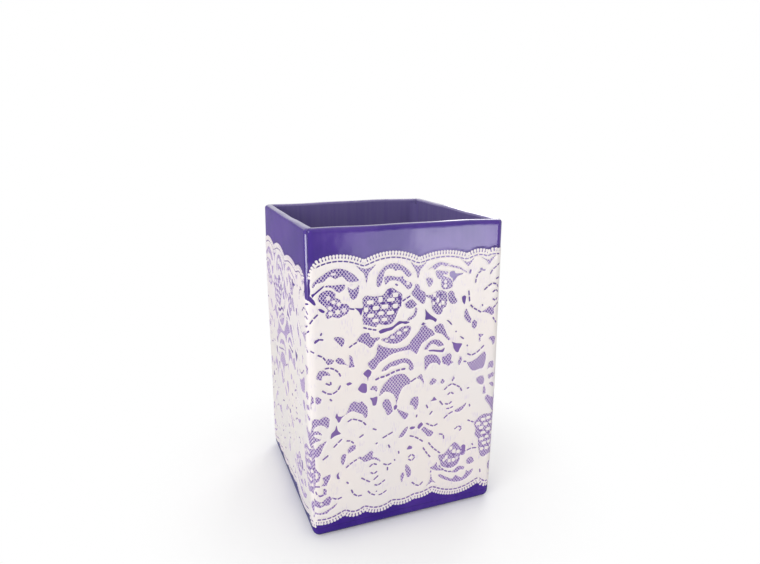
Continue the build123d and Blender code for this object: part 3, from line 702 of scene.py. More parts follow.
fine_lines = (
    (20.5, 143.7, 23, 141.8, 26.5, 141), (0, 134.5, 2, 137, 4, 139, 5.8, 140.4),
    (31, 132.2, 34.5, 130.9, 39.5, 129.2), (31, 129.7, 35, 128.2, 39.5, 127),
    (50.2, 153.6, 52.2, 152.3), (54.5, 142.6, 57, 144, 60, 145.6),
    (22.6, 118.4, 25, 119.9, 27.8, 121.3), (0, 119.2, 3, 117.8), (4.5, 116.6, 8, 114.6, 9.6, 112.2),
    (3, 124.6, 6, 125.6, 8.6, 125), (6.5, 127.5, 7.6, 129.5),
    (8.3, 107.6, 11.4, 107.9, 14.4, 106.4, 16.6, 104.2, 17.9, 101.4),
    (6.6, 94.8, 8.6, 93, 11.6, 91.3, 14, 92, 16.4, 93.6, 17.8, 96.4),
    (8.7, 99, 9.6, 98, 10.6, 97.3, 12.4, 97.2, 13, 98.7, 11.6, 99.5), (11, 88.9, 12.6, 87),
    (21.3, 72, 23.9, 73.6, 28.3, 72, 31.1, 70.3, 32.9, 67.7),
    (12.6, 57, 15.5, 59.6, 18.3, 62), (5.8, 50.2, 8, 51.3, 10, 53), (20.4, 60, 23, 59.6, 25.4, 57.2),
    (20, 42, 23.5, 44.6, 27.3, 46.4), (28.3, 60.4, 31.6, 62.2), (36.6, 65, 39.6, 63.4),
    (34.6, 39.2, 36.4, 40.8, 38, 41.3, 39.8, 39.8), (35.3, 35.7, 36.9, 34.2, 38.6, 34.2, 40, 35.6),
    (29.3, 33.4, 32, 31.2, 35.5, 28.8), (37.2, 29.6, 40.8, 32.4),
    (37.7, 26.5, 40.2, 25.4, 43, 26.9, 45.2, 28.3),
    (33.5, 23.4, 35.3, 20.8, 38.7, 18.8), (39.1, 22, 39.6, 20.8), (40.4, 18.4, 43.3, 18.8, 46.2, 20.6),
    (23.2, 26.8, 24.6, 23.2, 27, 21.2, 28.8, 20.3, 30.2, 21.2), (20.2, 32.8, 21.8, 30.8),
    (43.4, 39.8, 46.7, 38, 49.3, 38.9), (46.5, 37.2, 46.4, 34), (42.8, 57.2, 46, 58.5, 50, 60.2),
    (38.6, 54, 40.2, 55), (46.8, 52.4, 48, 49.4),
    (60.4, 55.4, 65, 53.4, 70, 49.2), (71.4, 61.9, 76.6, 58.8, 79.7, 60), (80.4, 52.7, 83.6, 51.4, 84.2, 48),
    (73.4, 48.2, 76.6, 43.6, 79.6, 40.8, 82.2, 38.2), (69.8, 45.4, 72.6, 40.6, 75.4, 37),
    (60, 40, 61.4, 42, 63.6, 41.6, 64.6, 39.6, 63, 37.6, 61, 37.8, 60, 39.4),
    (62.6, 22.3, 65.4, 19.4, 68, 18.2, 70.6, 20.8), (53.6, 46.6, 53.9, 44), (50.8, 41.4, 51.4, 39.8),
    (98.8, 136.2, 101, 133.8, 104, 132, 106.8, 130.2), (114.6, 132.2, 117.6, 134.2, 120, 135.6),
    (113.8, 142.2, 115, 143.6, 117.4, 143.7, 118.8, 142), (114, 138.2, 116.3, 137, 118.6, 138.7),
    (107.8, 144.2, 110, 146, 113.5, 148.2, 117, 147.2, 119.2, 144.8),
    (111.6, 153.8, 113.3, 156.9, 116.5, 159, 119.6, 160.4), (115.6, 150.6, 118, 152, 120, 151.2),
    (101.9, 149.2, 102.3, 153, 104, 155.8, 106.5, 157.3, 108.7, 156.8), (97.4, 145.4, 98.4, 137.8),
    (97.8, 104.6, 100.5, 103, 103, 103.4, 106, 105, 109.9, 108.6), (95.4, 99.8, 98, 99.1),
    (89.4, 120.6, 90.2, 119.4),
    (97.6, 110.6, 98.2, 109), (114.8, 126.4, 116.6, 124, 118.6, 122), (107, 135.6, 107.6, 134),
    (83, 82.2, 85.5, 84.5, 88.5, 85.8, 91.5, 84.2, 94.5, 82, 95.4, 79.4), (85.4, 78.5, 87.5, 80.1, 90, 78.6),
    (83.8, 73, 86.5, 72.1, 88.9, 73.8), (84.8, 69.3, 87.5, 69.1, 90, 70.2), (80, 75.8, 81.4, 74.2, 82.8, 72),
    (98.6, 80.8, 100.8, 81.2), (83.4, 62.6, 87, 65.5, 90, 66.6), (71.2, 74.8, 72.6, 71.6),
    (73.6, 67, 75.8, 69.6),
    (60.4, 91.3, 63, 93, 64.6, 93.6), (64.9, 66.8, 65.4, 69.2), (101, 70, 101.6, 67.6),
    (100, 58.8, 103, 57.2, 105, 56.2), (91, 53.6, 94.5, 55.8, 96.6, 53.2, 94.6, 51.8),
    (81, 30.2, 84, 26.3, 88, 23.8, 90.6, 23.4), (0, 33.2, 2.5, 33, 4.6, 33), (1, 30.2, 2.2, 27.4),
    (11, 23.8, 15.5, 21.6, 17.6, 23), (100.4, 36.6, 103, 37.6, 105.4, 37.6, 108, 37.2),
    (104, 41.4, 105.2, 39.4), (75.6, 25.4, 75.9, 27.6), (111.2, 21, 111.6, 17.6),
)
heavy_lines = (
    (38.2, 96, 41, 97.2, 44, 97.4, 48, 98.8, 52, 100.2, 57.6, 100.6),
    (2.6, 123.4, 4.2, 125, 6.4, 126), (98.6, 158.4, 97.6, 155.2), (104.4, 157.6, 106.6, 158),
)


# Lace cloth. The close parts of the lace, its scrolls, leaves and roses, in white slip that was
# pressed on wet and stands proud with softly rounded edges. One strip, wound round from its seam at
# the front left corner, where its far end was cut back above a leaf.
lace_top_height = 173.0
lace_bottom_height = 6.0
lace_height = lace_top_height - lace_bottom_height
foot_rise = 2.7
row_height = 0.978
lace_drop = 5.5
lower_lace_drop = 1.9
drop_shares = (0.0, 0.0, 0.5, 1.0, 1.0)
level_end_share = 0.07
fringe_depth = 2.3
cordonnet_inset = 3.8
curve_pull = 0.35
curve_step = 0.75
edge_points = 161
border_points = 150
dash_share = 0.88
dash_taper = 0.35
dash_pitch = 3.4
dash_width = 1.0
heavy_dash_width = 1.3
petals = 6
petal_points = 24
petal_base = 0.84
petal_depth = 0.2
pad_points = 16
pad_bluntness = 0.6
pad_swell = 1.2
cordonnet_dash_pitch = 3.2
top_cordonnet_width = 0.85
foot_cordonnet_width = 1.05
cordonnet_places = slice(2, -2, 4)
point_spacing = 1.1
point_jitter = 0.12
edge_clearance = 0.6
ring_distance = 0.4
ring_clearance = 0.75 * ring_distance
triangles_inside = 1
same_place = 1e-4
border_overlap = 3.0
edge_lift = 0.15
cloth_lift = 0.30
edge_round = 0.7
lip_lift = 0.08
lip_distance = 0.9
lip_width = 0.5
lace_sharp_angle = math.radians(55)
buried_lift = -0.15
# Height, start and end of the pooled glaze and the painted dark reflection line above the lace.
pool_and_shade_height = 0.6
pool_and_shade_start = 7.0
pool_and_shade_end = 12.0
pool_and_shade_thin_share = 0.3
wash_edge = 1.5
wash_start = 150.0
wash_depth = 60.0
wash_least = 0.08
wash_rightwards = 0.10
wash_low = 0.36
cool_slip = (0.835, 0.782, 0.768, 1)
warm_slip = (0.855, 0.787, 0.757, 1)
washed_slip = (0.60, 0.50, 0.74, 1)
thin_slip = (0.52, 0.39, 0.68, 1)
end_notch = (
    120.6, 154.6, 118, 153.6, 116, 154, 114.7, 156, 114.6, 158.5, 115, 161, 113.4, 163, 115.6, 165.8,
    113.4, 167.4, 111.6, 168.6, 110, 171, 110, 176, 120.6, 176,
)
start_notch = (
    -1, 150.8, 0.9, 151.3, 1.3, 154, 1.0, 157, 1.4, 160, 1.2, 163, 3, 166, 5, 168.2, 6.5, 169,
    6.5, 176, -1, 176,
)
seam_cuts = {"front": (seam_gap, start_notch), "left": (end_notch,)}


def pairs(row):
    """A row of the draft as its places, across and up."""
    return np.array(row, dtype=float).reshape(-1, 2)


def smooth_curve(row, closed):
    """Smooth curve through the places of a row, counter-clockwise where it is closed."""
    places = pairs(row)
    if closed:
        following = np.roll(places, -1, axis=0)
        if np.sum(places[:, 0] * following[:, 1] - following[:, 0] * places[:, 1]) < 0:
            places = places[::-1]
        padded = np.vstack((places[-1:], places, places[:2]))
    else:
        padded = np.vstack((places[:1], places, places[-1:]))
    pulls = (padded[2:] - padded[:-2]) * curve_pull
    stretches = []
    for start, end, pull, end_pull in zip(padded[1:-2], padded[2:-1], pulls[:-1], pulls[1:]):
        steps = max(1, round(float(np.hypot(*(end - start))) / curve_step))
        t = (np.arange(steps) / steps)[:, None]
        rise = t * t * (3 - 2 * t)
        bend = (t ** 3 - 2 * t ** 2 + t) * pull + (t ** 3 - t ** 2) * end_pull
        stretches.append(start + (end - start) * rise + bend)
    if not closed:
        stretches.append(padded[-1:])
    return np.vstack(stretches)


def dashes(row, width, pitch):
    """Short slots one after another along a smooth line."""
    line = smooth_curve(row, False)
    travelled = np.concatenate(((0,), np.cumsum(np.hypot(*np.diff(line, axis=0).T))))
    count = max(1, round(travelled[-1] / pitch))
    reach = dash_share * travelled[-1] / count / 2
    slots = []
    for index in range(count):
        middle = (index + 0.5) * travelled[-1] / count
        start, end = (
            np.array([np.interp(middle + way * reach, travelled, line[:, axis]) for axis in (0, 1)])
            for way in (-1, 1)
        )
        along = (end - start) / np.hypot(*(end - start))
        across = np.array((-along[1], along[0])) * width / 2
        tip = along * width * dash_taper
        slots.append(np.array((
            start, start + tip - across, end - tip - across, end, end - tip + across, start + tip + across
        )))
    return slots


def daisy(across, up, radius):
    """Outline of a small flower, turned another way wherever it stands."""
    angles = np.linspace(0, 2 * math.pi, petal_points, endpoint=False)
    reach = radius * (petal_base + petal_depth * np.cos(petals * angles + across))
    return np.stack((across + reach * np.cos(angles), up + reach * np.sin(angles)), axis=-1)


def pad(across, up, width, height):
    """Outline of a small cushion with blunt corners."""
    angles = np.linspace(0, 2 * math.pi, pad_points, endpoint=False)
    x = np.sign(np.cos(angles)) * np.abs(np.cos(angles)) ** pad_bluntness
    y = np.sign(np.sin(angles)) * np.abs(np.sin(angles)) ** pad_bluntness
    return np.stack((across + pad_swell * x * width / 2, up + pad_swell * y * height / 2), axis=-1)


def scalloped(across, scallops):
    """Height of a scalloped edge: level, then one arch through the three places of each row."""
    up = np.where(across < scallops[0][0], scallops[0][1], scallops[-1][5]).astype(float)
    for row in scallops:
        places = pairs(row)
        arch = np.polyfit(places[:, 0], places[:, 1], 2)
        up = np.where((across >= row[0]) & (across <= row[4]), np.polyval(arch, across), up)
    return up


def strip_drop(around, up):
    """How far the strip hangs below its draft, further round and higher up the further."""
    side = np.clip(np.floor(around / side_length), 0, 3).astype(int)
    run = np.clip((around / side_length - side - level_end_share) / (1 - 2 * level_end_share), 0, 1)
    shares = np.array(drop_shares)
    high = (up - lace_bottom_height) / lace_height
    full_drop = lower_lace_drop * (1 - high) + lace_drop * high
    return (shares[side] + (shares[side + 1] - shares[side]) * run) * full_drop


def laid(around, up):
    """Height above the ground of a height in the draft, whose rows are laid a little closer together."""
    return foot_rise + row_height * up - strip_drop(around, up)


def wound(draft):
    """Places in real size of draft places (around, up, lift) once the strip is wound round the crock."""
    around, up, lift = draft.T
    return on_wall(around, laid(around, up), lift)


def repeated(curves):
    """Curves of one wall with the neighbours' curves that come near its borders."""
    everywhere = list(curves)
    for curve in curves:
        if curve[:, 0].min() < border_overlap:
            everywhere.append(curve + (side_length, 0))
        if curve[:, 0].max() > side_length - border_overlap:
            everywhere.append(curve - (side_length, 0))
    return everywhere


net_curves = repeated([smooth_curve(row, True) for row in scroll_nets + ground_nets + basket_nets])
gap_curves = repeated([smooth_curve(row, True) for row in gaps])
bud_curves = repeated([daisy(*row) for row in daisies] + [pad(*row) for row in pads])
edge_stations = np.linspace(0, side_length, edge_points)
cordonnet = []
for scallops, inset, width in (
    (top_scallops, -cordonnet_inset, top_cordonnet_width),
    (bottom_scallops, cordonnet_inset, foot_cordonnet_width),
):
    line = np.stack((edge_stations, scalloped(edge_stations, scallops) + inset), axis=-1)
    cordonnet += dashes(line[cordonnet_places].ravel(), width, cordonnet_dash_pitch)
dash_curves = [slot for row in fine_lines for slot in dashes(row, dash_width, dash_pitch)]
dash_curves += [slot for row in heavy_lines for slot in dashes(row, heavy_dash_width, dash_pitch)]
dash_curves = repeated(dash_curves + cordonnet)


def cloth_outline():
    """Outline of the close cloth on one wall, inside the fringe of picots."""
    top = scalloped(edge_stations, top_scallops) - fringe_depth
    bottom = scalloped(edge_stations, bottom_scallops) + fringe_depth
    rise = np.linspace(0, 1, border_points)[1:-1, None]
    lower = np.stack((edge_stations, bottom), axis=-1)
    upper = np.stack((edge_stations, top), axis=-1)[::-1]
    right = lower[-1] + (upper[0] - lower[-1]) * rise
    left = upper[-1] + (lower[0] - upper[-1]) * rise
    return lower, upper, np.vstack((lower, right, upper, left))


def in_curve(places, curve):
    """Which places lie inside a closed curve."""
    following = np.roll(curve, -1, axis=0)
    inside = np.zeros(len(places), dtype=bool)
    near = (places >= curve.min(axis=0)).all(axis=1) & (places <= curve.max(axis=0)).all(axis=1)
    picked = places[near]
    crossed = np.zeros(len(picked), dtype=bool)
    for (x0, y0), (x1, y1) in zip(curve, following):
        if y0 != y1:
            passed = (picked[:, 1] < y0) != (picked[:, 1] < y1)
            crossed ^= passed & (picked[:, 0] < x0 + (picked[:, 1] - y0) * (x1 - x0) / (y1 - y0))
    inside[near] = crossed
    return inside


def in_any(places, curves):
    """Which places lie inside one curve or more."""
    inside = np.zeros(len(places), dtype=bool)
    for curve in curves:
        inside |= in_curve(places, curve)
    return inside


def tree_of(places):
    """Search tree of flat places."""
    tree = KDTree(len(places))
    for index, (across, up) in enumerate(places):
        tree.insert((across, up, 0), index)
    tree.balance()
    return tree


def distances(places, tree):
    """Distance from each flat place to the nearest one in a tree."""
    return np.array([tree.find((across, up, 0))[2] for across, up in places])


def cut_out(outline, openings, islands, loose):
    """Triangles inside an outline, outside its openings but for the islands left in them."""
    curves = [outline] + openings + islands
    starts = np.cumsum([0] + [len(curve) for curve in curves])
    faces = [list(range(start, start + len(curve))) for start, curve in zip(starts, curves)]
    places = [Vector(place) for place in np.vstack(curves + [loose]).tolist()]
    vertices, _, triangles, _, _, origins = delaunay_2d_cdt(
        places, [], faces, triangles_inside, same_place, True
    )
    first_island = 1 + len(openings)
    kept = []
    for triangle, origin in zip(triangles, origins):
        opened = any(0 < index < first_island for index in origin)
        left = any(index >= first_island for index in origin)
        if 0 in origin and (left or not opened):
            kept.append(triangle)
    return np.array([tuple(place) for place in vertices]), np.array(kept)


def loose_points(curves, outline_edges, outline_tree, seed):
    """Points inside the cloth: a ring beside each edge, and an even, slightly uneven field."""
    rings = [edge + (0, way * ring_distance) for edge, way in zip(outline_edges, (1, -1))]
    for curve in curves:
        along = np.roll(curve, -1, axis=0) - np.roll(curve, 1, axis=0)
        along /= np.hypot(*along.T)[:, None] + 1e-9
        rings.append(curve + np.stack((along[:, 1], -along[:, 0]), axis=-1) * ring_distance)
    rings = np.vstack(rings)
    rings = rings[distances(rings, outline_tree) > ring_clearance]
    rows = np.arange(0, lace_top_height, point_spacing * math.sqrt(0.75))
    columns = np.arange(0, side_length, point_spacing)
    up, across = np.meshgrid(rows, columns, indexing="ij")
    across = across + point_spacing / 2 * (np.arange(len(rows)) % 2)[:, None]
    field = np.stack((across.ravel(), up.ravel()), axis=-1)
    field += np.random.default_rng(seed).uniform(-point_jitter, point_jitter, field.shape)
    field = field[distances(field, outline_tree) > edge_clearance]
    points = np.vstack((rings, field))
    return points[(points[:, 0] > ring_distance) & (points[:, 0] < side_length - ring_distance)]


def lace_slip():
    """Satin white slip, thin and lilac where the glaze shows through at its edges."""
    slip = Finish("lace_slip")
    draft = slip.node("ShaderNodeAttribute", {"attribute_name": "draft"}, {}, "Vector")
    lift = slip.node("ShaderNodeSeparateXYZ", {}, {"Vector": draft}, "Z")
    where = slip.node("ShaderNodeTexCoord", {}, {}, "Object")
    patches = slip.mottle(where, scale=45.0, detail=3.0)
    thickness = slip.ease(lift + 0.08 * patches, 0.10, 0.23)
    warmth = slip.ease(slip.mottle(where, scale=18.0, detail=2.0), 0.35, 0.65)
    white = slip.mix(warmth, cool_slip, warm_slip)
    weave = slip.mottle(slip.stretched(draft, (2.4, 0.22, 0)), scale=1.0, detail=1.0)
    washed = slip.ease(slip.mottle(draft, scale=0.11, detail=2.0), 0.5, 0.64)
    white = slip.mix(slip.ease(weave, 0.5, 0.7) * washed * 0.5, white, washed_slip)
    colour = slip.mix(thickness, thin_slip, white)
    threads = slip.mottle(slip.stretched(draft, (2.1, 1.3, 0)), scale=1.0, detail=1.0)
    relief = slip.bump(threads, distance=0.00012, strength=0.5)
    slip.paint(base_color=colour, roughness=0.42, normal=relief, ior=1.5)
    return slip


slip = lace_slip()
for wall, around, depth, up in walls:
    across = around % side_length
    above = up - laid(around, scalloped(across, top_scallops))
    below = laid(around, scalloped(across, bottom_scallops)) - up
    beside_seam = (around < pool_and_shade_start) | (around > round_trip - pool_and_shade_end)
    # Painted shade over pooled glaze: a narrow dark band above the lace's top edge, stronger towards each
    # wall's right where the sheen falls.
    pool_and_shade = np.exp(-(((above - pool_and_shade_height) / pool_and_shade_height) ** 2)) * (depth == 0) * ~beside_seam
    pool_and_shade = pool_and_shade * np.clip(2 * across / side_length - 1, pool_and_shade_thin_share, 1)
    note(wall, "pool_and_shade", pool_and_shade.ravel())
    under_lace = np.clip(-above / wash_edge, 0, 1) * np.clip(-below / wash_edge, 0, 1) * (depth == 0)
    low = np.clip((wash_start - up) / wash_depth, 0, 1)
    rightwards = 0.5 - 0.5 * np.cos(math.pi * around / side_length)
    wash = wash_least + wash_rightwards * rightwards + wash_low * low
    note(wall, "haze", (under_lace * wash).ravel())

lower_edge, upper_edge, outline = cloth_outline()
sides = ("front", "right", "back", "left")
net_clearings = []
for side, side_name in enumerate(sides):
    cuts = [smooth_curve(row, True) for row in seam_cuts.get(side_name, ())]
    openings = net_curves + gap_curves + dash_curves + cuts
    net_clearings.append(gap_curves + bud_curves + cuts)
    samples = np.vstack(openings + bud_curves + [lower_edge, upper_edge])
    edge_tree = tree_of(samples)
    loose = loose_points(openings + bud_curves, (lower_edge, upper_edge), edge_tree, side)
    skin, skin_faces = cut_out(outline, openings, bud_curves, loose)
    sole, sole_faces = cut_out(outline, openings, bud_curves, np.zeros((0, 2)))
    skin_tree = tree_of(skin)
    sole_ids = np.array([skin_tree.find((across, up, 0))[1] for across, up in sole])
    inset = distances(skin, edge_tree)
    lift = edge_lift + (cloth_lift - edge_lift) * np.sqrt(np.clip(inset / edge_round, 0, 1))
    lift += lip_lift * np.exp(-(((inset - lip_distance) / lip_width) ** 2))
    face_edges = np.vstack((skin_faces[:, (0, 1)], skin_faces[:, (1, 2)], skin_faces[:, (2, 0)]))
    known = {tuple(link) for link in face_edges.tolist()}
    rim = [link for link in known if (link[1], link[0]) not in known]
    draft = np.column_stack((skin[:, 0] + side * side_length, skin[:, 1], lift))
    buried = draft.copy()
    buried[:, 2] = buried_lift
    count = len(draft)
    faces = skin_faces.tolist()
    faces += [(a + count, b + count, b, a) for a, b in rim]
    faces += [tuple(int(sole_ids[v]) + count for v in reversed(face)) for face in sole_faces]
    whole = np.vstack((draft, buried))
    used = np.unique(np.concatenate([np.array(face) for face in faces]))
    new_ids = np.full(len(whole), -1)
    new_ids[used] = np.arange(len(used))
    faces = [tuple(new_ids[list(face)]) for face in faces]
    whole = whole[used]
    cloth = make_piece("lace_cloth_" + side_name, wound(whole), faces, slip)
    note(cloth, "draft", whole)
    cloth.data.set_sharp_from_angle(angle=lace_sharp_angle)
    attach(cloth, "root")
    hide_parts("lace_band")


# Lace net. Fine knotted thread that spans the openings of the cloth, so that the glaze shows between
# the meshes. Each knot is the crossing of two threads, and its four arms meet those of its neighbours.
mesh_across = 1.95
mesh_up = 1.25
thread_width = 0.40
thread_crown = 0.15
thread_edge = 0.07
net_overlap = 0.8
crotch_share = 0.62
knot_slack = 0.06
net_foot = 8
net_seed = 11


def knot():
    """Crossing of two threads, flat in the draft: crowned arms out to the middles between knots."""
    ways = ((1, 1), (-1, 1), (-1, -1), (1, -1))
    arms = [np.array((way_x * mesh_across / 4, way_y * mesh_up / 2)) for way_x, way_y in ways]
    places = [(0, 0, thread_crown)]
    for arm in arms:
        along = arm / np.hypot(*arm)
        across = np.array((-along[1], along[0])) * thread_width / 2
        places += [(*(arm - across), thread_edge), (*arm, thread_crown), (*(arm + across), thread_edge)]
    first_crotch = len(places)
    for first, second in zip(arms, arms[1:] + arms[:1]):
        crotch = (first + second) / np.hypot(*(first + second))
        places.append((*(crotch * thread_width * crotch_share), thread_edge))
    ring = []
    faces = []
    for index in range(len(arms)):
        left, tip, right = (3 * index + step for step in (1, 2, 3))
        before = first_crotch + (index - 1) % len(arms)
        after = first_crotch + index
        ring += [left, tip, right, after]
        faces += [(0, before, left, tip), (0, tip, right, after)]
    low = len(places)
    places += [(*places[v][:2], buried_lift) for v in ring]
    for index, v in enumerate(ring):
        following = (index + 1) % len(ring)
        faces.append((low + index, low + following, ring[following], v))
    faces.append([low + index for index in reversed(range(len(ring)))])
    mesh = bpy.data.meshes.new("knot")
    mesh.from_pydata([tuple(place) for place in places], [], faces)
    return bpy.data.objects.new("knot", mesh)


def sown(name, source, settings, material, plant):
    """Mesh that a small geometry tree makes of a source mesh and its named inputs."""
    tree = bpy.data.node_groups.new(name, "GeometryNodeTree")
    tree.interface.new_socket("Geometry", in_out="INPUT", socket_type="NodeSocketGeometry")
    tree.interface.new_socket("Geometry", in_out="OUTPUT", socket_type="NodeSocketGeometry")
    values = {}
    for label, (kind, value) in settings.items():
        values[tree.interface.new_socket(label, in_out="INPUT", socket_type=kind).identifier] = value
    entry = tree.nodes.new("NodeGroupInput")
    realized = add_node(tree, "GeometryNodeRealizeInstances", {}, {0: plant(tree, entry)})
    sockets = {"Geometry": realized.outputs[0], "Material": material}
    painted = add_node(tree, "GeometryNodeSetMaterial", {}, sockets)
    add_node(tree, "NodeGroupOutput", {}, {0: painted.outputs[0]})
    holder = bpy.data.objects.new(name, source)
    scene_objects.link(holder)
    modifier = holder.modifiers.new(name, "NODES")
    modifier.node_group = tree
    for identifier, value in values.items():
        modifier[identifier] = value
    evaluated = holder.evaluated_get(bpy.context.evaluated_depsgraph_get())
    mesh = bpy.data.meshes.new_from_object(evaluated)
    holder.modifiers.remove(modifier)
    bpy.data.objects.remove(holder)
    return mesh


def knots_on_points(tree, entry):
    """A knot on every point, each a little larger or smaller than true."""
    given = entry.outputs
    points = add_node(tree, "GeometryNodeMeshToPoints", {}, {"Mesh": given["Geometry"]})
    motif = add_node(tree, "GeometryNodeObjectInfo", {}, {"Object": given["Motif"]})
    low = add_node(tree, "ShaderNodeMath", {"operation": "SUBTRACT"}, {0: 1.0, 1: given["Slack"]})
    high = add_node(tree, "ShaderNodeMath", {"operation": "ADD"}, {0: 1.0, 1: given["Slack"]})
    sockets = {2: low.outputs[0], 3: high.outputs[0], "Seed": given["Seed"]}
    size = add_node(tree, "FunctionNodeRandomValue", {}, sockets)
    sockets = {
        "Points": points.outputs["Points"],
        "Instance": motif.outputs["Geometry"],
        "Scale": size.outputs[1],
    }
    return add_node(tree, "GeometryNodeInstanceOnPoints", {}, sockets).outputs["Instances"]


def wound_piece(name, mesh):
    """Piece from a flat mesh in the draft, wound round the crock."""
    flat = np.zeros(3 * len(mesh.vertices))
    mesh.vertices.foreach_get("co", flat)
    flat = flat.reshape(-1, 3)
    mesh.vertices.foreach_set("co", (wound(flat) * MM).ravel())
    mesh.name = name
    mesh.update()
    piece = bpy.data.objects.new(name, mesh)
    scene_objects.link(piece)
    note(piece, "draft", flat)
    mesh.shade_smooth()
    mesh.set_sharp_from_angle(angle=lace_sharp_angle)
    return piece


def net_points(side):
    """Places of the knots of one wall, in slanting rows, where its openings have net."""
    rows = np.arange(net_foot, lace_top_height, mesh_up)
    columns = np.arange(0, side_length, mesh_across)
    up, across = np.meshgrid(rows, columns, indexing="ij")
    across = across + mesh_across / 2 * (np.arange(len(rows)) % 2)[:, None]
    knots = np.stack((across.ravel(), up.ravel()), axis=-1)
    netted = in_any(knots, net_curves)
    for way in ((1, 0), (-1, 0), (0, 1), (0, -1)):
        netted |= in_any(knots + np.array(way) * net_overlap, net_curves)
    kept = knots[netted & ~in_any(knots, net_clearings[side])]
    return kept + (side * side_length, 0)


motif = knot()
scene_objects.link(motif)
for side, side_name in enumerate(sides):
    points = net_points(side)
    source = bpy.data.meshes.new("net_points")
    source.from_pydata([(across, up, 0) for across, up in points], [], [])
    settings = {
        "Motif": ("NodeSocketObject", motif),
        "Slack": ("NodeSocketFloat", knot_slack),
        "Seed": ("NodeSocketInt", net_seed + side),
    }
    mesh = sown("net", source, settings, slip.material, knots_on_points)
    net = wound_piece("lace_net_" + side_name, mesh)
    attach(net, "root")
    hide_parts("lace_band")
bpy.data.objects.remove(motif)


# Picots. The fringe of small loops along both scalloped edges of the lace. The slip filled the loops,
# and the glaze shows in the holes between their narrow roots and in the notches between their heads.
picot_pitch = 1.75
picot_root_width = 1.1
picot_head_width = 1.65
picot_head_wrap = 0.5
picot_length = 2.9
picot_neck = 1.3
picot_steps = 9
picot_crown = 0.32
picot_edge = 0.15
strand_step = 0.75
fringe_start = 6.2
fringe_end = 9.8
start_strand = (2.4, 160.6, 3, 163, 4.6, 165.8, 6.1, 167.6)


def picot():
    """Loop filled with slip, flat in the draft: a narrow root at the origin and a round head above."""
    angles = np.linspace(-picot_head_wrap, math.pi + picot_head_wrap, picot_steps)
    tip_radius = picot_head_width / 2
    tip = [(tip_radius * math.cos(a), picot_length - tip_radius + tip_radius * math.sin(a)) for a in angles]
    half = picot_root_width / 2
    ring = [(half, 0), (half, picot_neck)] + tip + [(-half, picot_neck), (-half, 0)]
    spine = [(0, 0), (0, picot_length - tip_radius)]
    places = [(x, y, picot_edge) for x, y in ring] + [(x, y, picot_crown) for x, y in spine]
    places += [(x, y, buried_lift) for x, y in ring]
    count = len(ring)
    root, crown = count, count + 1
    faces = [(0, 1, crown, root), (root, crown, count - 2, count - 1)]
    faces += [(v, v + 1, crown) for v in range(1, count - 2)]
    faces += [(count + 2 + v, count + 3 + v, v + 1, v) for v in range(count - 1)]
    faces.append((2 * count + 1, count + 2, 0, root, count - 1))
    faces.append([count + 2 + v for v in reversed(range(count))])
    mesh = bpy.data.meshes.new("picot")
    mesh.from_pydata(places, [], faces)
    return bpy.data.objects.new("picot", mesh)


def picots_on_strands(tree, entry):
    """A picot at every pitch along the strands, standing square to them."""
    given = entry.outputs
    curve = add_node(tree, "GeometryNodeMeshToCurve", {}, {"Mesh": given["Geometry"]})
    sockets = {"Curve": curve.outputs["Curve"], "Length": given["Pitch"]}
    points = add_node(tree, "GeometryNodeCurveToPoints", {"mode": "LENGTH"}, sockets)
    motif = add_node(tree, "GeometryNodeObjectInfo", {}, {"Object": given["Motif"]})
    settings = {"axis": "X", "pivot_axis": "Z"}
    sockets = {"Vector": points.outputs["Tangent"]}
    turned = add_node(tree, "FunctionNodeAlignRotationToVector", settings, sockets)
    sockets = {
        "Points": points.outputs["Points"],
        "Instance": motif.outputs["Geometry"],
        "Rotation": turned.outputs["Rotation"],
    }
    return add_node(tree, "GeometryNodeInstanceOnPoints", {}, sockets).outputs["Instances"]


def fringe_strands():
    """Strands that the picots are worked on, just inside the cloth's scalloped edges, all round."""
    along = np.arange(0, side_length, strand_step)
    around = np.concatenate([along + side * side_length for side in range(4)] + [[round_trip]])
    across = around % side_length
    top = np.stack((around, scalloped(across, top_scallops) - picot_length), axis=-1)
    bottom = np.stack((around, scalloped(across, bottom_scallops) + picot_length), axis=-1)[::-1]
    top = top[(around > fringe_start) & (around < round_trip - fringe_end)]
    return [np.vstack((smooth_curve(start_strand, False), top)), bottom]


motif = picot()
scene_objects.link(motif)
strands = fringe_strands()
source = bpy.data.meshes.new("fringe_strands")
edges = [(i, i + 1) for i in range(len(strands[0]) - 1)]
edges += [(len(strands[0]) + i, len(strands[0]) + i + 1) for i in range(len(strands[1]) - 1)]
source.from_pydata([(around, up, 0) for around, up in np.vstack(strands)], edges, [])
settings = {
    "Motif": ("NodeSocketObject", motif),
    "Pitch": ("NodeSocketFloat", picot_pitch),
}
picots = wound_piece("lace_picots", sown("picots", source, settings, slip.material, picots_on_strands))
bpy.data.objects.remove(motif)
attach(picots, "root")
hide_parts("lace_band")


# Studio. A pale floor that fades to white, soft even light from all round, and a few soft lights
# whose reflections lie in the gloss of the glaze.
camera_data = bpy.data.cameras.new("camera")
camera_data.lens = 27.36
camera_data.sensor_width = 36.0
camera = bpy.data.objects.new("camera", camera_data)
scene_objects.link(camera)
bpy.context.scene.camera = camera
azimuth = math.radians(-21.02)
elevation = math.radians(14.39)
camera_roll = math.radians(0.14)
camera_distance = 0.3860
camera_target = Vector((0.0045, 0.0, 0.13815))
back = Vector((
    math.sin(azimuth) * math.cos(elevation),
    -math.cos(azimuth) * math.cos(elevation),
    math.sin(elevation),
))
camera.location = camera_target + back * camera_distance
camera.rotation_mode = "QUATERNION"
camera.rotation_quaternion = (-back).to_track_quat("-Z", "Y") @ Quaternion((0, 0, 1), camera_roll)

bpy.context.scene.view_settings.view_transform = "Standard"


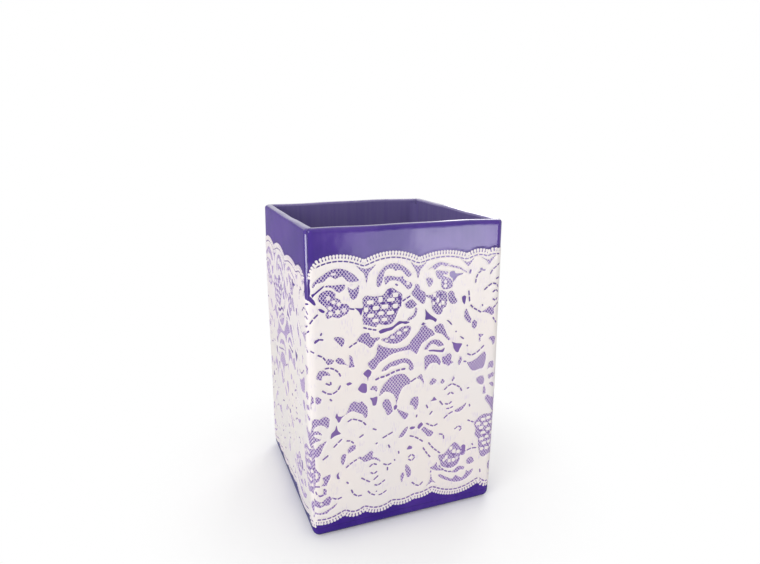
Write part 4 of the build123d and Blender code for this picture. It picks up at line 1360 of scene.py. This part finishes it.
def lamp(name, place, aim, width, height, power, in_gloss_alone=False):
    """Rectangular soft light that faces a point, or one that shows only in gloss."""
    data = bpy.data.lights.new(name, "AREA")
    data.shape = "RECTANGLE"
    data.size = width
    data.size_y = height
    data.energy = power
    holder = bpy.data.objects.new(name, data)
    scene_objects.link(holder)
    holder.location = place
    holder.rotation_mode = "QUATERNION"
    holder.rotation_quaternion = (Vector(aim) - Vector(place)).to_track_quat("-Z", "Y")
    holder.visible_diffuse = not in_gloss_alone


crock_middle = (0, 0, 0.09)
lamp("window_left", (-1.25, -0.75, 0.75), crock_middle, 0.8, 1.0, 10.3)
lamp("window_front", (0.45, -1.5, 1.0), crock_middle, 1.0, 1.0, 1.2)
lamp("window_back", (1.0, 1.1, 0.8), crock_middle, 0.8, 1.0, 7.5)
lamp("sheen_front", (0.222, -0.5, 0.08), (0.222, 0, 0.08), 0.265, 0.11, 0.36, True)
lamp("sheen_right", (0.3, -0.52, 0.08), (0.3, 0, 0.08), 0.15, 0.10, 0.22, True)
lamp("sheen_corner", (-0.42, 0.035, 0.098), (0, 0.035, 0.098), 0.18, 0.065, 0.42, True)

unseen_strength = 0.7
floor_reach = 6000
dark_reach = 600
dark_rise = 0.5

world = bpy.data.worlds.new("studio")
bpy.context.scene.world = world
world.use_nodes = True
tree = world.node_tree
rays = add_node(tree, "ShaderNodeLightPath", {}, {}).outputs
seen = rays["Is Camera Ray"]
for kind in ("Is Glossy Ray", "Is Transmission Ray"):
    seen = add_node(tree, "ShaderNodeMath", {"operation": "MAXIMUM"}, {0: seen, 1: rays[kind]}).outputs[0]
strength = add_node(tree, "ShaderNodeMapRange", {}, {"Value": seen, "To Min": unseen_strength})
background = tree.nodes["Background"]
tree.links.new(strength.outputs[0], background.inputs["Strength"])
background.inputs["Color"].default_value = (1, 1, 1, 1)

paper = Finish("white_floor")
radius = paper.node(
    "ShaderNodeVectorMath",
    {"operation": "LENGTH"},
    {0: paper.node("ShaderNodeTexCoord", {}, {}, "Object")},
    "Value",
)
paper.paint(base_color=(0.95, 0.95, 0.95, 1), roughness=0.9)
glow = paper.node("ShaderNodeEmission", {}, {"Color": (1, 1, 1, 1), "Strength": 1.0})
fade = paper.ease(radius, 0.05, 0.17)
camera_ray, glossy_ray, through_ray = (
    paper.node("ShaderNodeLightPath", {}, {}, f"Is {kind} Ray")
    for kind in ("Camera", "Glossy", "Transmission")
)
seen = paper.reckon("MAXIMUM", paper.reckon("MAXIMUM", camera_ray, glossy_ray), through_ray)
mixed = paper.node(
    "ShaderNodeMixShader", {}, {0: fade * seen, 1: Wire(paper, paper.shader.outputs[0]), 2: glow}
)
paper.join(mixed, paper.tree.nodes["Material Output"].inputs["Surface"])


def level_square(reach, up):
    """Corners of a level square round the crock, in millimetres."""
    return [(x * reach, y * reach, up) for x, y in square_corners]


def flag(name, places, finish):
    """Card that shows only in gloss, and keeps the white floor and background out of the glaze."""
    card = make_piece(name, places, [(0, 1, 2, 3)], finish)
    card.visible_camera = False
    card.visible_diffuse = False
    card.visible_transmission = False
    card.visible_shadow = False
    card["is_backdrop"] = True


lilac_card = Finish("lilac_card")
lilac_card.paint(base_color=(0, 0, 0, 1), emission_color=(0.33, 0.29, 0.44, 1), emission_strength=1.0)
dark_card = Finish("dark_card")
dark_card.paint(base_color=(0.28, 0.36, 0.32, 1), roughness=1.0)
flag("lilac_flag", [(-400, 340, 0), (-70, 340, 0), (-70, 340, 260), (-400, 340, 260)], lilac_card)
flag("dark_flag", level_square(dark_reach, dark_rise), dark_card)
floor = make_piece("floor", level_square(floor_reach, 0), [(0, 1, 2, 3)], paper)
floor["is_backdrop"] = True

low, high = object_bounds()
